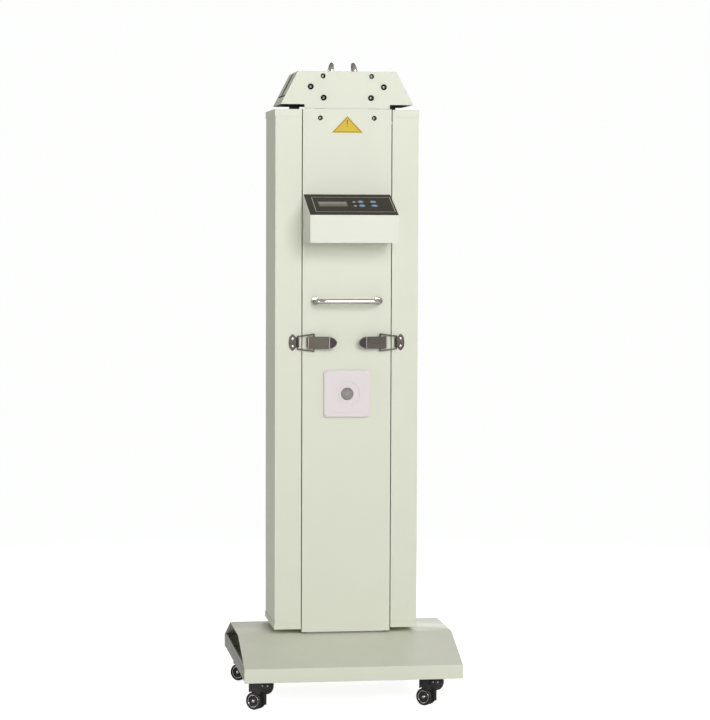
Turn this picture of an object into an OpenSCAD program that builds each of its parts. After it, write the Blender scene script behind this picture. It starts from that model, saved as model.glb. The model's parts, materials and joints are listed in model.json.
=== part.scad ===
// Mobile ultraviolet lamp trolley: a wheeled base, a mast, and two lamp arms that hang on a hinge head.
// +X is to the right, -Y is the front, +Z is up; the origin is on the floor under the middle of the base.

/* [Base] */
// Width of the base
base_w = 400; // [330:1:490]
// Depth of the base
base_d = 388; // [320:1:470]
// Height of the base cover from its lip edge to its flat top
base_h = 68.3; // [56:0.1:84]
// Height of the upright lips at front and back
lip_h = 25.7; // [20:0.1:32]
// Depth of the flat top of the base
base_flat_d = 152; // [120:1:190]
// Sheet thickness of the base cover
base_t = 1.5; // [1:0.1:3]
// Width of one end rail
rail_w = 60; // [54:1:74]
// Height of the end rails
rail_h = 28; // [24:1:34]

/* [Casters] */
// Height of the lip edge above the floor
caster_h = 57; // [54:0.5:72]
// Diameter of a caster wheel
wheel_d = 32; // [26:1:34]
// Width of one of the two wheels of a caster
wheel_w = 7.5; // [6:0.5:12]
// Distance from the swivel axis back to the axle
caster_trail = 21.5; // [19:0.5:26]
// Distance from a side of the base in to the swivel axes
caster_in = 43; // [18:1:55]
// Distance of the front swivel axes from the middle, towards the front
caster_front_y = 154; // [125:1:180]
// Distance of the rear swivel axes from the middle, towards the rear
caster_rear_y = 134; // [115:1:180]

/* [Mast] */
// Width of the mast
mast_w = 164; // [140:1:200]
// Depth of the mast and of the arms
mast_d = 155; // [135:1:190]
// Distance from the front lip back to the front of the mast
mast_setback = 115.3; // [96:0.1:130]
// Thickness of the foot plate under the mast
foot_t = 3.5; // [2:0.5:8]
// Sheet thickness of the mast, arms and head
sheet_t = 1.2; // [0.8:0.1:2]

/* [Arms] */
// Length of a lamp arm
arm_len = 956; // [790:1:1150]
// Width of a lamp arm
arm_w = 48.8; // [47:0.1:62]
// Gap between an arm and the mast
arm_gap = 1.7; // [0.8:0.1:3]
// Height of the arms above the base
arm_lift = 10.4; // [6:0.1:16]
// Height of the trim band at the top of an arm
band_h = 13.5; // [10:0.5:18]
// Thickness of the end trims
trim_t = 1; // [0.8:0.1:2]
// Diameter of the ultraviolet tube
tube_d = 26; // [16:0.5:30]
// Distance from the mast side of an arm to the tube's centre
tube_inset = 23; // [19:0.5:27]

/* [Head] */
// Gap between the arms and the head
head_gap = 9; // [7:0.5:12]
// Height of the head
head_h = 60.4; // [56:0.1:72]
// Width of the head at its lower edge
head_w = 245; // [236:1:252]
// Width of the head at its top
head_top_w = 182; // [172:1:190]
// Depth of the head
head_d = 131; // [110:1:145]
// Distance of the arm pivots from the middle
pivot_x = 67.6; // [64:0.1:72]
// Height of the arm pivots above the head's lower edge
pivot_rise = 32.3; // [30:0.1:36]
// Diameter of the arm pivot bolts
pivot_d = 8; // [6:0.5:10]
// Thickness of the neck plate of an arm
neck_t = 8; // [6:0.5:10]
// Width of the slots that the neck plates swing through
slot_w = 14; // [12:0.5:18]
// Width of the guard plates that close the slots below
guard_w = 104; // [90:1:106]
// Height of the guard plates
guard_h = 15; // [12:0.5:16]
// Swing of an arm from hanging to level
arm_swing = 90; // [80:1:90]

/* [Control box] */
// Width of the control box
box_w = 160.6; // [140:0.2:163]
// Distance that the control box stands out from the mast
box_d = 98; // [84:1:112]
// Height of the front face of the control box
box_front_h = 50; // [42:0.5:60]
// Height of the control box against the mast
box_back_h = 86.5; // [76:0.5:100]
// Wall thickness of the control box
box_t = 2.5; // [2:0.1:4]
// Distance from the mast top down to the top of the control box
box_drop = 157.5; // [120:0.5:190]
// Thickness of the black panel sheet
overlay_t = 1.2; // [0.8:0.1:2]
// Diameter of a key
key_d = 11.5; // [8:0.1:13]
// Distance between keys, sideways
key_pitch_x = 22.7; // [18:0.1:26]
// Distance between keys, up the panel
key_pitch_s = 20.2; // [18:0.1:25]
// Travel of a key
key_travel = 0.8; // [0.4:0.1:1.2]
// Width of the display window
lcd_w = 52; // [42:1:60]
// Height of the display window
lcd_h = 26; // [20:1:32]

/* [Latches] */
// Distance from the mast top down to the middle of the latches
latch_drop = 428; // [360:1:500]
// Length of a latch lever
lever_len = 54.5; // [48:0.5:66]
// Height of a latch lever
lever_w = 22; // [18:0.5:26]
// Distance from the latch hinge back to the bail pivot
bail_arm = 8.5; // [7:0.1:10]
// Distance from the bail pivot to its crossbar
bail_reach = 30.5; // [27:0.1:34]
// Wire diameter of a bail
bail_d = 2.5; // [2:0.1:3]
// Angle by which the levers stand open at rest
lever_rest = 12; // [11:1:14]

/* [Sensor and handle] */
// Side of the sensor plate
plate_w = 86; // [72:1:104]
// Thickness of the sensor plate
plate_t = 9; // [7:0.5:12]
// Distance from the mast top down to the sensor's middle
sensor_drop = 522.7; // [500:0.1:560]
// Diameter of the sensor lens
lens_d = 22.6; // [18:0.1:28]
// Diameter of the handle bar
bar_d = 9; // [8:0.5:12]
// Length of the handle between its legs
handle_len = 117; // [96:1:142]
// Distance from the mast to the middle of the handle bar
handle_out = 38; // [34:1:46]
// Distance from the mast top down to the handle
handle_drop = 351.5; // [320:0.5:390]
// Rod diameter of the lifting loops
loop_d = 7.5; // [6:0.5:9]
// Distance between the legs of a lifting loop
loop_span = 26; // [21:1:29]
// Height of the lifting loops above the head
loop_h = 20.4; // [18.2:0.1:26]

/* [Hidden] */
$fn = 48;

// Clearances
running_gap = 0.05; // radial, between a pin and the bore that turns on it
free_gap = 0.6; // between parts that pass each other
key_gap = 0.3; // radial, around a key
seam_gap = 0.3; // between the mast and the tab of the head
neck_gap = 2; // from the mast top down to the rear cover, where the necks pass

// Casters
caster_x = base_w / 2 - caster_in;

// Heights
base_top = caster_h + base_h;
lip_top = caster_h + lip_h;
mast_z0 = base_top + foot_t;
arm_z0 = base_top + arm_lift;
arm_z1 = arm_z0 + arm_len;
head_z0 = arm_z1 + head_gap;
head_z1 = head_z0 + head_h;
pivot_z = head_z0 + pivot_rise;
mast_z1 = arm_z1 + 1.4;
box_z1 = mast_z1 - box_drop;
box_z0 = box_z1 - box_back_h;
latch_z = mast_z1 - latch_drop;
sensor_z = mast_z1 - sensor_drop;
handle_z = mast_z1 - handle_drop;

// Depths
front_y = -base_d / 2 + mast_setback;
back_y = front_y + mast_d;
mid_y = (front_y + back_y) / 2;
head_y0 = front_y + sheet_t + 0.5;
head_y1 = head_y0 + head_d;
head_mid_y = (head_y0 + head_y1) / 2;

// Widths
mast_x = mast_w / 2;
arm_x0 = mast_x + arm_gap;
arm_x1 = arm_x0 + arm_w;
web_x = arm_x1 - sheet_t;
tube_x = arm_x0 + tube_inset;

// The slanted sides of the head
side_slope = (head_w - head_top_w) / 2 / head_h;
side_run = sheet_t * sqrt(1 + side_slope * side_slope); // sheet thickness of a side, measured level
notch_z = head_z0 + guard_h + 3; // top of the wide part of the side opening
corner_r = norm([head_w / 2 - pivot_x, pivot_rise]); // reach of the head's lower corners from a pivot
nest_z = pivot_z - sqrt(pow(corner_r, 2) - pow(arm_x0 - pivot_x, 2)) - 3; // arms are open above this

// Casters
plate_h = 2.4; // mounting plate of a caster
hood_top = caster_h - plate_h - free_gap;
stem_d = 10;
axle_d = 5;
web_w = 5;
wheel_in = web_w / 2 + free_gap;
cavity_r = wheel_d / 2 + 1.5;
hood_r = 14.5; // largest reach of the nose
nose_run = 11; // how far the nose draws in below
nose_z0 = 30;
nose_z1 = 45;
mount_d = 28;
// Heading of each caster's nose, in the order front left, front right, back left, back right
HEADINGS = [-40, -42, -37, -42];

// Bolts of the mast's foot, and the parts on the mast's rear wall
foot_bolt_x = 52;
foot_bolt_y = 52;
foot_bolt_d = 8;
inlet_z = mast_z0 + 50;
board_z = mast_z0 + 92;
low_vent_z = mast_z0 + 170;
ballast_z0 = mast_z0 + 240;
ballast_z1 = mast_z0 + 400;
high_vent_z = mast_z1 - 160;
vent_pitch = 9;
vent_h = 3;
sensor_hole_r = 28;
screw_hole_r = 2.6;
screw_r = 2.5;

// Frame inside the head and mast
post_x0 = 36;
post_x1 = 60;
post_t = 1.7;
wall_t = 3;
frame_y0 = head_y0 + sheet_t;
frame_y1 = head_y1 - sheet_t;
frame_x = head_top_w / 2 - 13;
frame_z0 = head_z0 + 3.5;
frame_z1 = head_z1 - 3;
boss_r = 10;
washer_t = 2;
stop_x = 43.7;
stop_z = head_z0 + 12.3;
stop_r = 4;
upper_screw_x = 44.9;
upper_screw_z = head_z1 - 8.6;
mast_screw_x = 49.8;
mast_screw_z = mast_z1 - 17;

// Tube and its holders
holder_h = 15;
holder_w = 34;
holder_d = 26;
tube_gap = 0.3;
pin_l = 6;
neck_foot_t = 2; // the plate of a neck that lies on the web of its arm
holder_z0 = arm_z0 + 3.8;
tube_z0 = holder_z0 + holder_h + tube_gap;
tube_z1 = nest_z - 1.2 - holder_h - tube_gap;

// Control panel plane: s runs up the slope and n stands off it
box_y0 = front_y - box_d;
box_front_z1 = box_z0 + box_front_h;
slope_a = atan2(box_back_h - box_front_h, box_d);
slope_len = norm([box_back_h - box_front_h, box_d]);
key_rise = 0.9; // how far a key stands above the panel sheet
keys_x = 30.8;
keys_s = 53.8;
lcd_x = -32.8;
lcd_s = 54.5;
led_x = 7.1;
led_d = 5.5;
board_n = -12;

// Latch: u points to the arm, v stands off the mast front
hinge_x = mast_x - 12;
hinge_v = 6.5;
hinge_d = 3;
lever_t = 1.5;
lever_nose = 13.5;
bail_w0 = 31;
bail_w1 = 23;
lip_v = 5;
lip_t = 1.6;
pivot_drop = 1.5;
bail_ratio = 1.3;
bail_closed = -3;

// ---- shared shapes ----

// Extrudes an outline drawn in X and Z from y0 to y1
module along_y(y0, y1) {
    translate([0, y1, 0]) rotate([90, 0, 0]) linear_extrude(y1 - y0) children();
}

// Extrudes an outline drawn in Y and Z from x0 to x1
module along_x(x0, x1) {
    translate([x0, 0, 0]) rotate([90, 0, 90]) linear_extrude(x1 - x0) children();
}

// A box between two corners
module span(low, high) {
    translate(low) cube(high - low);
}

// A round bar along Y
module bar_y(r, y0, y1) {
    translate([0, y1, 0]) rotate([90, 0, 0]) cylinder(r = r, h = y1 - y0);
}

// A domed screw head on the front face y, facing forward
module dome_head(r, y, h) {
    translate([0, y, 0]) rotate([90, 0, 0]) difference() {
        intersection() {
            translate([0, 0, h - (r * r + h * h) / (2 * h)]) sphere(r = (r * r + h * h) / (2 * h));
            cylinder(r = r, h = h);
        }
        translate([0, 0, h * 0.55]) cylinder(r = r * 0.42, h = h);
    }
}

// Draws children on the right as they are, and on the left mirrored
module on_side(side) {
    if (side < 0) mirror([1, 0, 0]) children();
    else children();
}

// Both sides at once, as separate solids
module both_sides() {
    children();
    mirror([1, 0, 0]) children();
}

// Places children on the control panel: x across, s up the slope, n off it
module on_panel(x = 0, s = 0, n = 0) {
    translate([0, box_y0, box_front_z1]) rotate([slope_a, 0, 0]) translate([x, s, n]) children();
}

// Outer x of a head side at height z
function side_x(z) = head_w / 2 - (z - head_z0) * side_slope;

// ---- base ----

module base_outline(inset) {
    slope = (base_h - lip_h) / (base_d / 2 - base_flat_d / 2);
    rise = inset * sqrt(1 + slope * slope);
    edge = base_d / 2 - inset;
    lip = lip_top + slope * inset - rise;
    flat = base_d / 2 - (base_top - inset - lip_top + rise) / slope;
    bottom = caster_h - (inset > 0 ? 1 : 0);
    polygon([
        [-edge, bottom], [-edge, lip], [-flat, base_top - inset],
        [flat, base_top - inset], [edge, lip], [edge, bottom]
    ]);
}

module base_cover() {
    color("#C9CABB") difference() {
        along_x(-base_w / 2, base_w / 2) base_outline(0);
        along_x(-base_w, base_w) base_outline(base_t);
        for (x = [-1, 1], y = [-1, 1])
            translate([x * foot_bolt_x, mid_y + y * foot_bolt_y, base_top - 10])
                cylinder(d = foot_bolt_d + 0.4, h = 20);
    }
}

// An end rail is a channel, open upward, with a long groove in its outer wall, cut to the cover's slopes
module end_rail() {
    x0 = base_w / 2 - 2 - rail_w;
    x1 = base_w / 2 - 2;
    z0 = caster_h;
    z1 = caster_h + rail_h;
    groove = z0 + rail_h * 0.65;
    intersection() {
        along_y(-base_d / 2, base_d / 2) polygon([
            [x0, z0], [x1, z0], [x1, groove - 1.2], [x1 - 1.2, groove], [x1, groove + 1.2], [x1, z1],
            [x1 - 2.5, z1], [x1 - 2.5, z0 + 2.5], [x0 + 2.5, z0 + 2.5], [x0 + 2.5, z1], [x0, z1]
        ]);
        along_x(x0 - 1, x1 + 1) base_outline(base_t);
    }
}

module base_frame() {
    x0 = base_w / 2 - 2 - rail_w;
    color("#A6A59A") {
        both_sides() end_rail();
        for (y = [-60, 60])
            translate([-x0, y - 15, caster_h]) difference() {
                cube([2 * x0, 30, 20]);
                translate([-1, 2.5, 2.5]) cube([2 * x0 + 2, 25, 30]);
            }
    }
}

module ballast_plate() {
    x = base_w / 2 - rail_w - 22;
    color("#6E6F70") span([-x, -85, caster_h + 20], [x, 85, caster_h + 28]);
}

// ---- casters ----

module at_caster(i) {
    x = (i % 2 == 0) ? -caster_x : caster_x;
    y = (i < 2) ? -caster_front_y : caster_rear_y;
    translate([x, y, 0]) rotate([0, 0, HEADINGS[i]]) children();
}

// In a caster's own frame the nose points along +X and the swivel axis is at the origin
module caster_hood(i) {
    axle_z = wheel_d / 2;
    half = wheel_in + wheel_w + 1;
    nose_in = hood_r - nose_run;
    color("#23211E") at_caster(i) difference() {
        union() {
            rotate_extrude() polygon(concat(
                [[0, nose_z0]],
                [for (t = [0:15:90]) [nose_in + nose_run * sin(t), nose_z1 - (nose_z1 - nose_z0) * cos(t)]],
                [[hood_r, nose_z1 + 3], [hood_r - 3, hood_top], [0, hood_top]]
            ));
            span([-caster_trail - 8, -half, nose_z0], [-4, half, hood_top]);
            span([-caster_trail, -web_w / 2, axle_z - 6], [0, web_w / 2, hood_top - 2]);
            translate([-caster_trail, 0, axle_z]) rotate([90, 0, 0])
                cylinder(r = 9, h = web_w, center = true);
        }
        for (side = [-1, 1])
            translate([-caster_trail, side * (web_w / 2 + 25), axle_z]) rotate([90, 0, 0])
                cylinder(r = cavity_r, h = 50, center = true, $fn = 72);
        translate([-caster_trail, 0, axle_z]) rotate([90, 0, 0])
            cylinder(d = axle_d + 2 * running_gap, h = 60, center = true);
        translate([0, 0, hood_top - 18]) cylinder(d = stem_d + 2 * running_gap, h = 30);
    }
}

// Two wheels on one axle
module caster_wheels(i) {
    r = wheel_d / 2;
    color("#2B2A28") at_caster(i) translate([-caster_trail, 0, r]) rotate([90, 0, 0]) {
        cylinder(d = axle_d, h = 2 * wheel_in + 2, center = true);
        for (side = [-1, 1])
            mirror([0, 0, side < 0 ? 1 : 0]) translate([0, 0, wheel_in]) rotate_extrude() polygon([
                [0, 0], [r - 1, 0], [r, 1], [r, wheel_w - 2.5], [r - 2.5, wheel_w], [0, wheel_w]
            ]);
    }
}

module caster_mounts() {
    color("#8C8C8A") for (i = [0:3]) at_caster(i) {
        translate([0, 0, caster_h - plate_h]) cylinder(d = mount_d, h = plate_h);
        translate([0, 0, hood_top - 16]) cylinder(d = stem_d, h = caster_h - hood_top + 16 - plate_h);
    }
}

// ---- mast ----

module mast_foot() {
    x = mast_x - 10;
    nut_h = 5;
    nut_z = base_top - base_t - nut_h;
    color("#77786F") {
        difference() {
            span([-x, front_y + 8, base_top], [x, back_y - 8, mast_z0]);
            for (sx = [-1, 1], sy = [-1, 1])
                translate([sx * foot_bolt_x, mid_y + sy * foot_bolt_y, base_top - 1])
                    cylinder(d = foot_bolt_d + 0.4, h = 20);
        }
        for (sx = [-1, 1], sy = [-1, 1]) translate([sx * foot_bolt_x, mid_y + sy * foot_bolt_y, 0]) {
            translate([0, 0, nut_z]) cylinder(d = foot_bolt_d, h = mast_z0 - nut_z);
            for (z = [mast_z0, nut_z]) translate([0, 0, z]) cylinder(d = 13, h = nut_h, $fn = 6);
        }
    }
}

module mast_front_panel() {
    z1 = mast_z1 - seam_gap;
    color("#DCDFCD") difference() {
        union() {
            span([-mast_x, front_y, mast_z0], [mast_x, front_y + sheet_t, z1]);
            both_sides() span([mast_x - sheet_t, front_y, mast_z0], [mast_x, front_y + 13, z1]);
        }
        for (x = [-1, 1]) {
            translate([x * mast_screw_x, 0, mast_screw_z]) bar_y(screw_hole_r, front_y - 5, front_y + 5);
            translate([x * handle_len / 2, 0, handle_z]) bar_y(screw_hole_r, front_y - 5, front_y + 5);
        }
        translate([0, 0, sensor_z]) bar_y(sensor_hole_r, front_y - 5, front_y + 5);
        span([-40, front_y - 5, box_z0 + 12], [40, front_y + 5, box_z0 + 52]);
    }
}

module mast_rear_cover() {
    y0 = front_y + 13.4;
    color("#D9DCCA") difference() {
        span([-mast_x, y0, mast_z0], [mast_x, back_y, mast_z1 - neck_gap]);
        span([-mast_x + sheet_t, y0 - 1, mast_z0 - 1], [mast_x - sheet_t, back_y - sheet_t, mast_z1 + 1]);
        for (vent_z = [low_vent_z, high_vent_z], i = [0:5], x = [-36, 36])
            translate([x, 0, vent_z + i * vent_pitch]) span([-22, back_y - 5, 0], [22, back_y + 5, vent_h]);
        span([-14, back_y - 5, inlet_z - 10.2], [14, back_y + 5, inlet_z + 10.2]);
    }
}

// Two angle posts behind the front panel carry the head
module mast_posts() {
    color("#9A9B96") both_sides() difference() {
        union() {
            span([post_x0, front_y + sheet_t, mast_z0],
                [post_x1, front_y + sheet_t + post_t, mast_z1 - seam_gap]);
            span([post_x0, front_y + sheet_t, mast_z0], [post_x0 + 2, front_y + 42, mast_z1 - 60]);
        }
        translate([mast_screw_x, 0, mast_screw_z]) bar_y(screw_hole_r, front_y - 5, front_y + 5);
        translate([handle_len / 2, 0, handle_z]) bar_y(screw_hole_r, front_y - 5, front_y + 5);
        translate([0, 0, sensor_z]) bar_y(sensor_hole_r, front_y - 5, front_y + 45);
        span([30, front_y, box_z0 + 12], [40, front_y + 3, box_z0 + 52]);
    }
}

module mast_screws() {
    color("#8E8A84") both_sides() translate([mast_screw_x, 0, mast_screw_z]) {
        dome_head(4.5, front_y, 2.4);
        bar_y(screw_r, front_y, front_y + sheet_t + post_t + wall_t + 4);
    }
}

// A three-pin appliance inlet with a flange, a fuse drawer and two screws
module power_inlet() {
    y = back_y;
    color("#1F1F1F") difference() {
        union() {
            span([-25, y, inlet_z - 14], [25, y + 1.6, inlet_z + 14]);
            span([-13.8, y - 24, inlet_z - 10], [13.8, y, inlet_z + 10]);
        }
        span([-11.8, y - 16, inlet_z - 7.8], [11.8, y + 3, inlet_z + 7.8]);
        for (x = [-20, 20]) translate([x, 0, inlet_z]) bar_y(1.7, y - 1, y + 5);
    }
    color("#B9B9B5") for (p = [[-7, 0], [0, 3], [7, 0]])
        span([p[0] - 1, y - 17, inlet_z + p[1] - 2], [p[0] + 1, y - 3, inlet_z + p[1] + 2]);
}

// One ballast for each tube, fixed to the rear wall
module lamp_ballasts() {
    color("#D8D8D2") for (x = [-40, 40]) {
        span([x - 20, back_y - sheet_t - 28, ballast_z0], [x + 20, back_y - sheet_t, ballast_z1]);
        for (z = [ballast_z0 - 8, ballast_z1])
            span([x - 12, back_y - sheet_t - 1.5, z], [x + 12, back_y - sheet_t, z + 8]);
    }
}

module power_board() {
    y = back_y - sheet_t;
    color("#3E6B4A") {
        span([-50, y - 9.6, board_z], [50, y - 8, board_z + 64]);
        for (x = [-44, 44], dz = [6, 58]) translate([x, 0, board_z + dz]) bar_y(3, y - 8, y);
        span([-42, y - 26, board_z + 6], [-10, y - 9.6, board_z + 34]);
        span([2, y - 30, board_z + 8], [30, y - 9.6, board_z + 40]);
        span([-42, y - 20, board_z + 46], [34, y - 9.6, board_z + 56]);
    }
}

// ---- control box ----

module box_outline(t) {
    polygon([
        [box_y0 + t, box_z0 + t], [front_y + (t > 0 ? 1 : 0), box_z0 + t],
        [front_y + (t > 0 ? 1 : 0), box_z1 - t / cos(slope_a) + (t > 0 ? tan(slope_a) : 0)],
        [box_y0 + t, box_front_z1 - t / cos(slope_a) + t * tan(slope_a)]
    ]);
}

module key_places() {
    for (i = [0, 1], j = [0, 1])
        on_panel(keys_x + (i - 0.5) * key_pitch_x, keys_s + (0.5 - j) * key_pitch_s) children();
}

module led_places() {
    for (j = [-1, 1]) on_panel(led_x, keys_s + j * key_pitch_s / 2) children();
}

module control_shell() {
    color("#E2E5D6") difference() {
        along_x(-box_w / 2, box_w / 2) box_outline(0);
        along_x(-box_w / 2 + box_t, box_w / 2 - box_t) box_outline(box_t);
        key_places() translate([0, 0, -10]) cylinder(r = key_d / 2 + key_gap, h = 20);
        led_places() translate([0, 0, -10]) cylinder(d = led_d + 0.2, h = 20);
        on_panel(lcd_x, lcd_s) translate([-lcd_w / 2, -lcd_h / 2, -10]) cube([lcd_w, lcd_h, 20]);
    }
}

// The black sheet has sloping sides
module control_overlay() {
    edge = 1.6;
    w = box_w / 2;
    color("#3A352E") difference() {
        on_panel() translate([-w, 0, 0]) cube([box_w, slope_len - 0.6, overlay_t]);
        on_panel() for (s = [-1, 1])
            translate([s * w, -1, overlay_t]) rotate([0, 45, 0])
                translate([-edge / 2, 0, -edge / 2]) cube([edge, slope_len + 2, edge]);
        key_places() translate([0, 0, -10]) cylinder(r = key_d / 2 + key_gap, h = 20);
        led_places() translate([0, 0, -10]) cylinder(d = led_d + 0.2, h = 20);
        on_panel(lcd_x, lcd_s) translate([-lcd_w / 2, -lcd_h / 2, -10]) cube([lcd_w, lcd_h, 20]);
    }
}

module lcd_window() {
    color("#86837A") on_panel(lcd_x, lcd_s) translate([-lcd_w / 2, -lcd_h / 2, -3]) cube([lcd_w, lcd_h, 3.8]);
}

module control_board() {
    color("#2F6B45") {
        on_panel() translate([-68, 8, board_n]) cube([132, 86, 1.6]);
        on_panel(lcd_x, lcd_s) translate([-lcd_w / 2 - 4, -lcd_h / 2 - 4, board_n + 1.6])
            cube([lcd_w + 8, lcd_h + 8, -board_n - 4.6]);
        key_places() translate([-3, -3, board_n + 1.6]) cube([6, 6, 3.2]);
        led_places() translate([0, 0, board_n + 1.6]) cylinder(d = 2.4, h = -board_n - 4.6);
        for (x = [-60, 56], s = [13, 89])
            on_panel(x, s) translate([0, 0, board_n + 1.6]) cylinder(d = 6, h = -board_n - 1.6 - box_t);
    }
}

module status_leds() {
    color("#B8D8A8") led_places() translate([0, 0, -3]) cylinder(d = led_d, h = overlay_t + 3.3);
}

// A key slides along the panel's normal; its flange keeps it in
module key(i) {
    col = i % 2;
    row = floor(i / 2);
    color("#5F7F9E") on_panel(keys_x + (col - 0.5) * key_pitch_x, keys_s + (0.5 - row) * key_pitch_s) {
        rotate_extrude() polygon([
            [0, -5.4], [1.5, -5.4], [1.5, -4], [key_d / 2 + 1.3, -4], [key_d / 2 + 1.3, -box_t - key_gap],
            [key_d / 2, -box_t - key_gap], [key_d / 2, overlay_t + 0.5],
            [key_d / 2 - 0.6, overlay_t + key_rise], [0, overlay_t + key_rise]
        ]);
    }
}

// ---- sensor, handle, label ----

module rounded_square(side, r) {
    union() {
        square([side - 2 * r, side], center = true);
        square([side, side - 2 * r], center = true);
        for (x = [-1, 1], y = [-1, 1]) translate([x, y] * (side / 2 - r)) circle(r = r);
    }
}

// A wall plate with a shallow dish, a collar round the lens and one fine groove near its lower edge
module sensor_plate() {
    y1 = front_y;
    y0 = front_y - plate_t;
    dish_d = 46;
    color("#E2D9D8") difference() {
        translate([0, 0, sensor_z]) {
            along_y(y0 + 2, y1) rounded_square(plate_w, 7);
            along_y(y0, y0 + 2) rounded_square(plate_w - 3, 6);
        }
        translate([0, 0, sensor_z]) {
            difference() {
                bar_y(dish_d / 2, y0 - 1, y0 + 1.6);
                bar_y(lens_d / 2 + 4.5, y0 - 2, y0 + 2);
            }
            bar_y(lens_d / 2 + running_gap, y0 - 5, y1 + 5);
            bar_y(sensor_hole_r, y1 - 3, y1 + 5);
        }
        span([-25, y0 - 1, sensor_z - 34.9], [25, y0 + 0.8, sensor_z - 33.7]);
    }
}

module sensor_lens() {
    y0 = front_y - plate_t;
    r = lens_d / 2;
    color("#A9A7A2") translate([0, y0 + 3, sensor_z]) rotate([90, 0, 0]) rotate_extrude() {
        intersection() {
            circle(r = r);
            square(r);
        }
        translate([0, 6 - plate_t]) square([r, plate_t - 6]);
    }
}

module sensor_body() {
    y = front_y - 3;
    color("#E6E6E0") translate([0, 0, sensor_z]) {
        bar_y(sensor_hole_r - 0.5, y, y + 24);
        bar_y(20, y + 24, y + 27);
    }
}

// A bow handle: a straight bar, two round bends, two legs on rosettes
module front_handle() {
    bend = 16;
    half = handle_len / 2;
    y = front_y - handle_out;
    color("#B9B9B7") translate([0, 0, handle_z]) {
        translate([-half + bend, y, 0]) rotate([0, 90, 0]) cylinder(d = bar_d, h = handle_len - 2 * bend);
        both_sides() {
            translate([half - bend, y + bend, 0]) rotate([0, 0, -90]) rotate_extrude(angle = 90)
                translate([bend, 0]) circle(d = bar_d);
            translate([half, 0, 0]) {
                bar_y(bar_d / 2, y + bend, front_y);
                bar_y(8, front_y - 3, front_y);
                bar_y(screw_r, front_y, front_y + sheet_t + post_t + 5);
            }
        }
    }
}

module warning_label() {
    z = mast_z1 - 44;
    color("#D8B93C") along_y(front_y - 0.4, front_y) polygon([[-29.5, z], [29.5, z], [0, z + 31]]);
}

// ---- head ----

module head_outline(t) {
    drop = t > 0 ? 5 : 0;
    run = t * sqrt(1 + side_slope * side_slope);
    x0 = head_w / 2 + drop * side_slope - run;
    x1 = side_x(head_z1 - t) - run;
    polygon([[-x0, head_z0 - drop], [x0, head_z0 - drop], [x1, head_z1 - t], [-x1, head_z1 - t]]);
}

module head_cover() {
    tab_x = mast_x - 3;
    color("#DCDFCD") difference() {
        union() {
            difference() {
                along_y(head_y0, head_y1) head_outline(0);
                along_y(head_y0 + sheet_t, head_y1 + 5) head_outline(sheet_t);
            }
            span([-tab_x, head_y0, mast_z1 + 0.1], [tab_x, head_y0 + sheet_t, head_z0 + 2]);
        }
        both_sides() {
            span([frame_x, head_mid_y - slot_w / 2, head_z0 - 5],
                [head_w, head_mid_y + slot_w / 2, head_z1 - sheet_t]);
            span([frame_x, head_mid_y - guard_w / 2 - 1, head_z0 - 5],
                [head_w, head_mid_y + guard_w / 2 + 1, notch_z]);
            translate([pivot_x, 0, pivot_z]) bar_y(pivot_d / 2 + 0.2, head_y0 - 5, head_y0 + 5);
            translate([stop_x, 0, stop_z]) bar_y(stop_r + 0.2, head_y0 - 5, head_y0 + 5);
            translate([upper_screw_x, 0, upper_screw_z]) bar_y(screw_hole_r, head_y0 - 5, head_y0 + 5);
        }
    }
}

module head_rear_plate() {
    color("#D2D5C3") difference() {
        along_y(head_y1 - sheet_t, head_y1) intersection() {
            head_outline(sheet_t);
            translate([-head_w, head_z0]) square([2 * head_w, head_h]);
        }
        both_sides() {
            translate([pivot_x, 0, pivot_z]) bar_y(pivot_d / 2 + 0.2, head_y1 - 5, head_y1 + 5);
            translate([stop_x, 0, stop_z]) bar_y(stop_r + 0.2, head_y1 - 5, head_y1 + 5);
        }
    }
}

// Front and rear walls joined by two webs; the front wall runs down behind the mast panel
module head_frame() {
    web_at = 24;
    color("#8F908C") difference() {
        union() {
            span([-frame_x, frame_y0, frame_z0], [frame_x, frame_y0 + wall_t, frame_z1]);
            span([-frame_x, frame_y1 - wall_t, frame_z0], [frame_x, frame_y1, frame_z1]);
            both_sides() {
                span([web_at, frame_y0, frame_z0], [web_at + wall_t, frame_y1, frame_z1]);
                span([post_x0 + 2.5, frame_y0, mast_z1 - 52], [post_x1, frame_y0 + wall_t, frame_z0 + 1]);
            }
        }
        both_sides() {
            translate([pivot_x, 0, pivot_z]) bar_y(pivot_d / 2 + 0.1, frame_y0 - 5, frame_y1 + 5);
            translate([stop_x, 0, stop_z]) bar_y(stop_r + 0.1, frame_y0 - 5, frame_y1 + 5);
            translate([upper_screw_x, 0, upper_screw_z]) bar_y(screw_hole_r, frame_y0 - 5, frame_y0 + 5);
            translate([mast_screw_x, 0, mast_screw_z]) bar_y(screw_hole_r, frame_y0 - 5, frame_y0 + 5);
        }
    }
}

module head_screws() {
    color("#8E8A84") both_sides() translate([upper_screw_x, 0, upper_screw_z]) {
        dome_head(4.5, head_y0, 2.4);
        bar_y(screw_r, head_y0, frame_y0 + wall_t + 3);
    }
}

// A long bolt through the head, with a round head in front and a nut behind
module through_bolt(r) {
    dome_head(r + 1.2, head_y0 - 2, 3);
    bar_y(r + 1.2, head_y0 - 2, head_y0);
    bar_y(r, head_y0, head_y1 + 5);
    translate([0, head_y1 + 4.5, 0]) rotate([90, 0, 0]) cylinder(r = r * 1.8, h = 4.5, $fn = 6);
}

module stop_bolts() {
    color("#8E8A84") both_sides() translate([stop_x, 0, stop_z]) through_bolt(stop_r);
}

module pivot_bolts() {
    color("#8E8A84") both_sides() translate([pivot_x, 0, pivot_z]) {
        through_bolt(pivot_d / 2);
        for (y = [frame_y0 + wall_t, frame_y1 - wall_t - washer_t]) difference() {
            bar_y(boss_r + 1, y, y + washer_t);
            bar_y(pivot_d / 2, y - 1, y + washer_t + 1);
        }
    }
}

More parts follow.
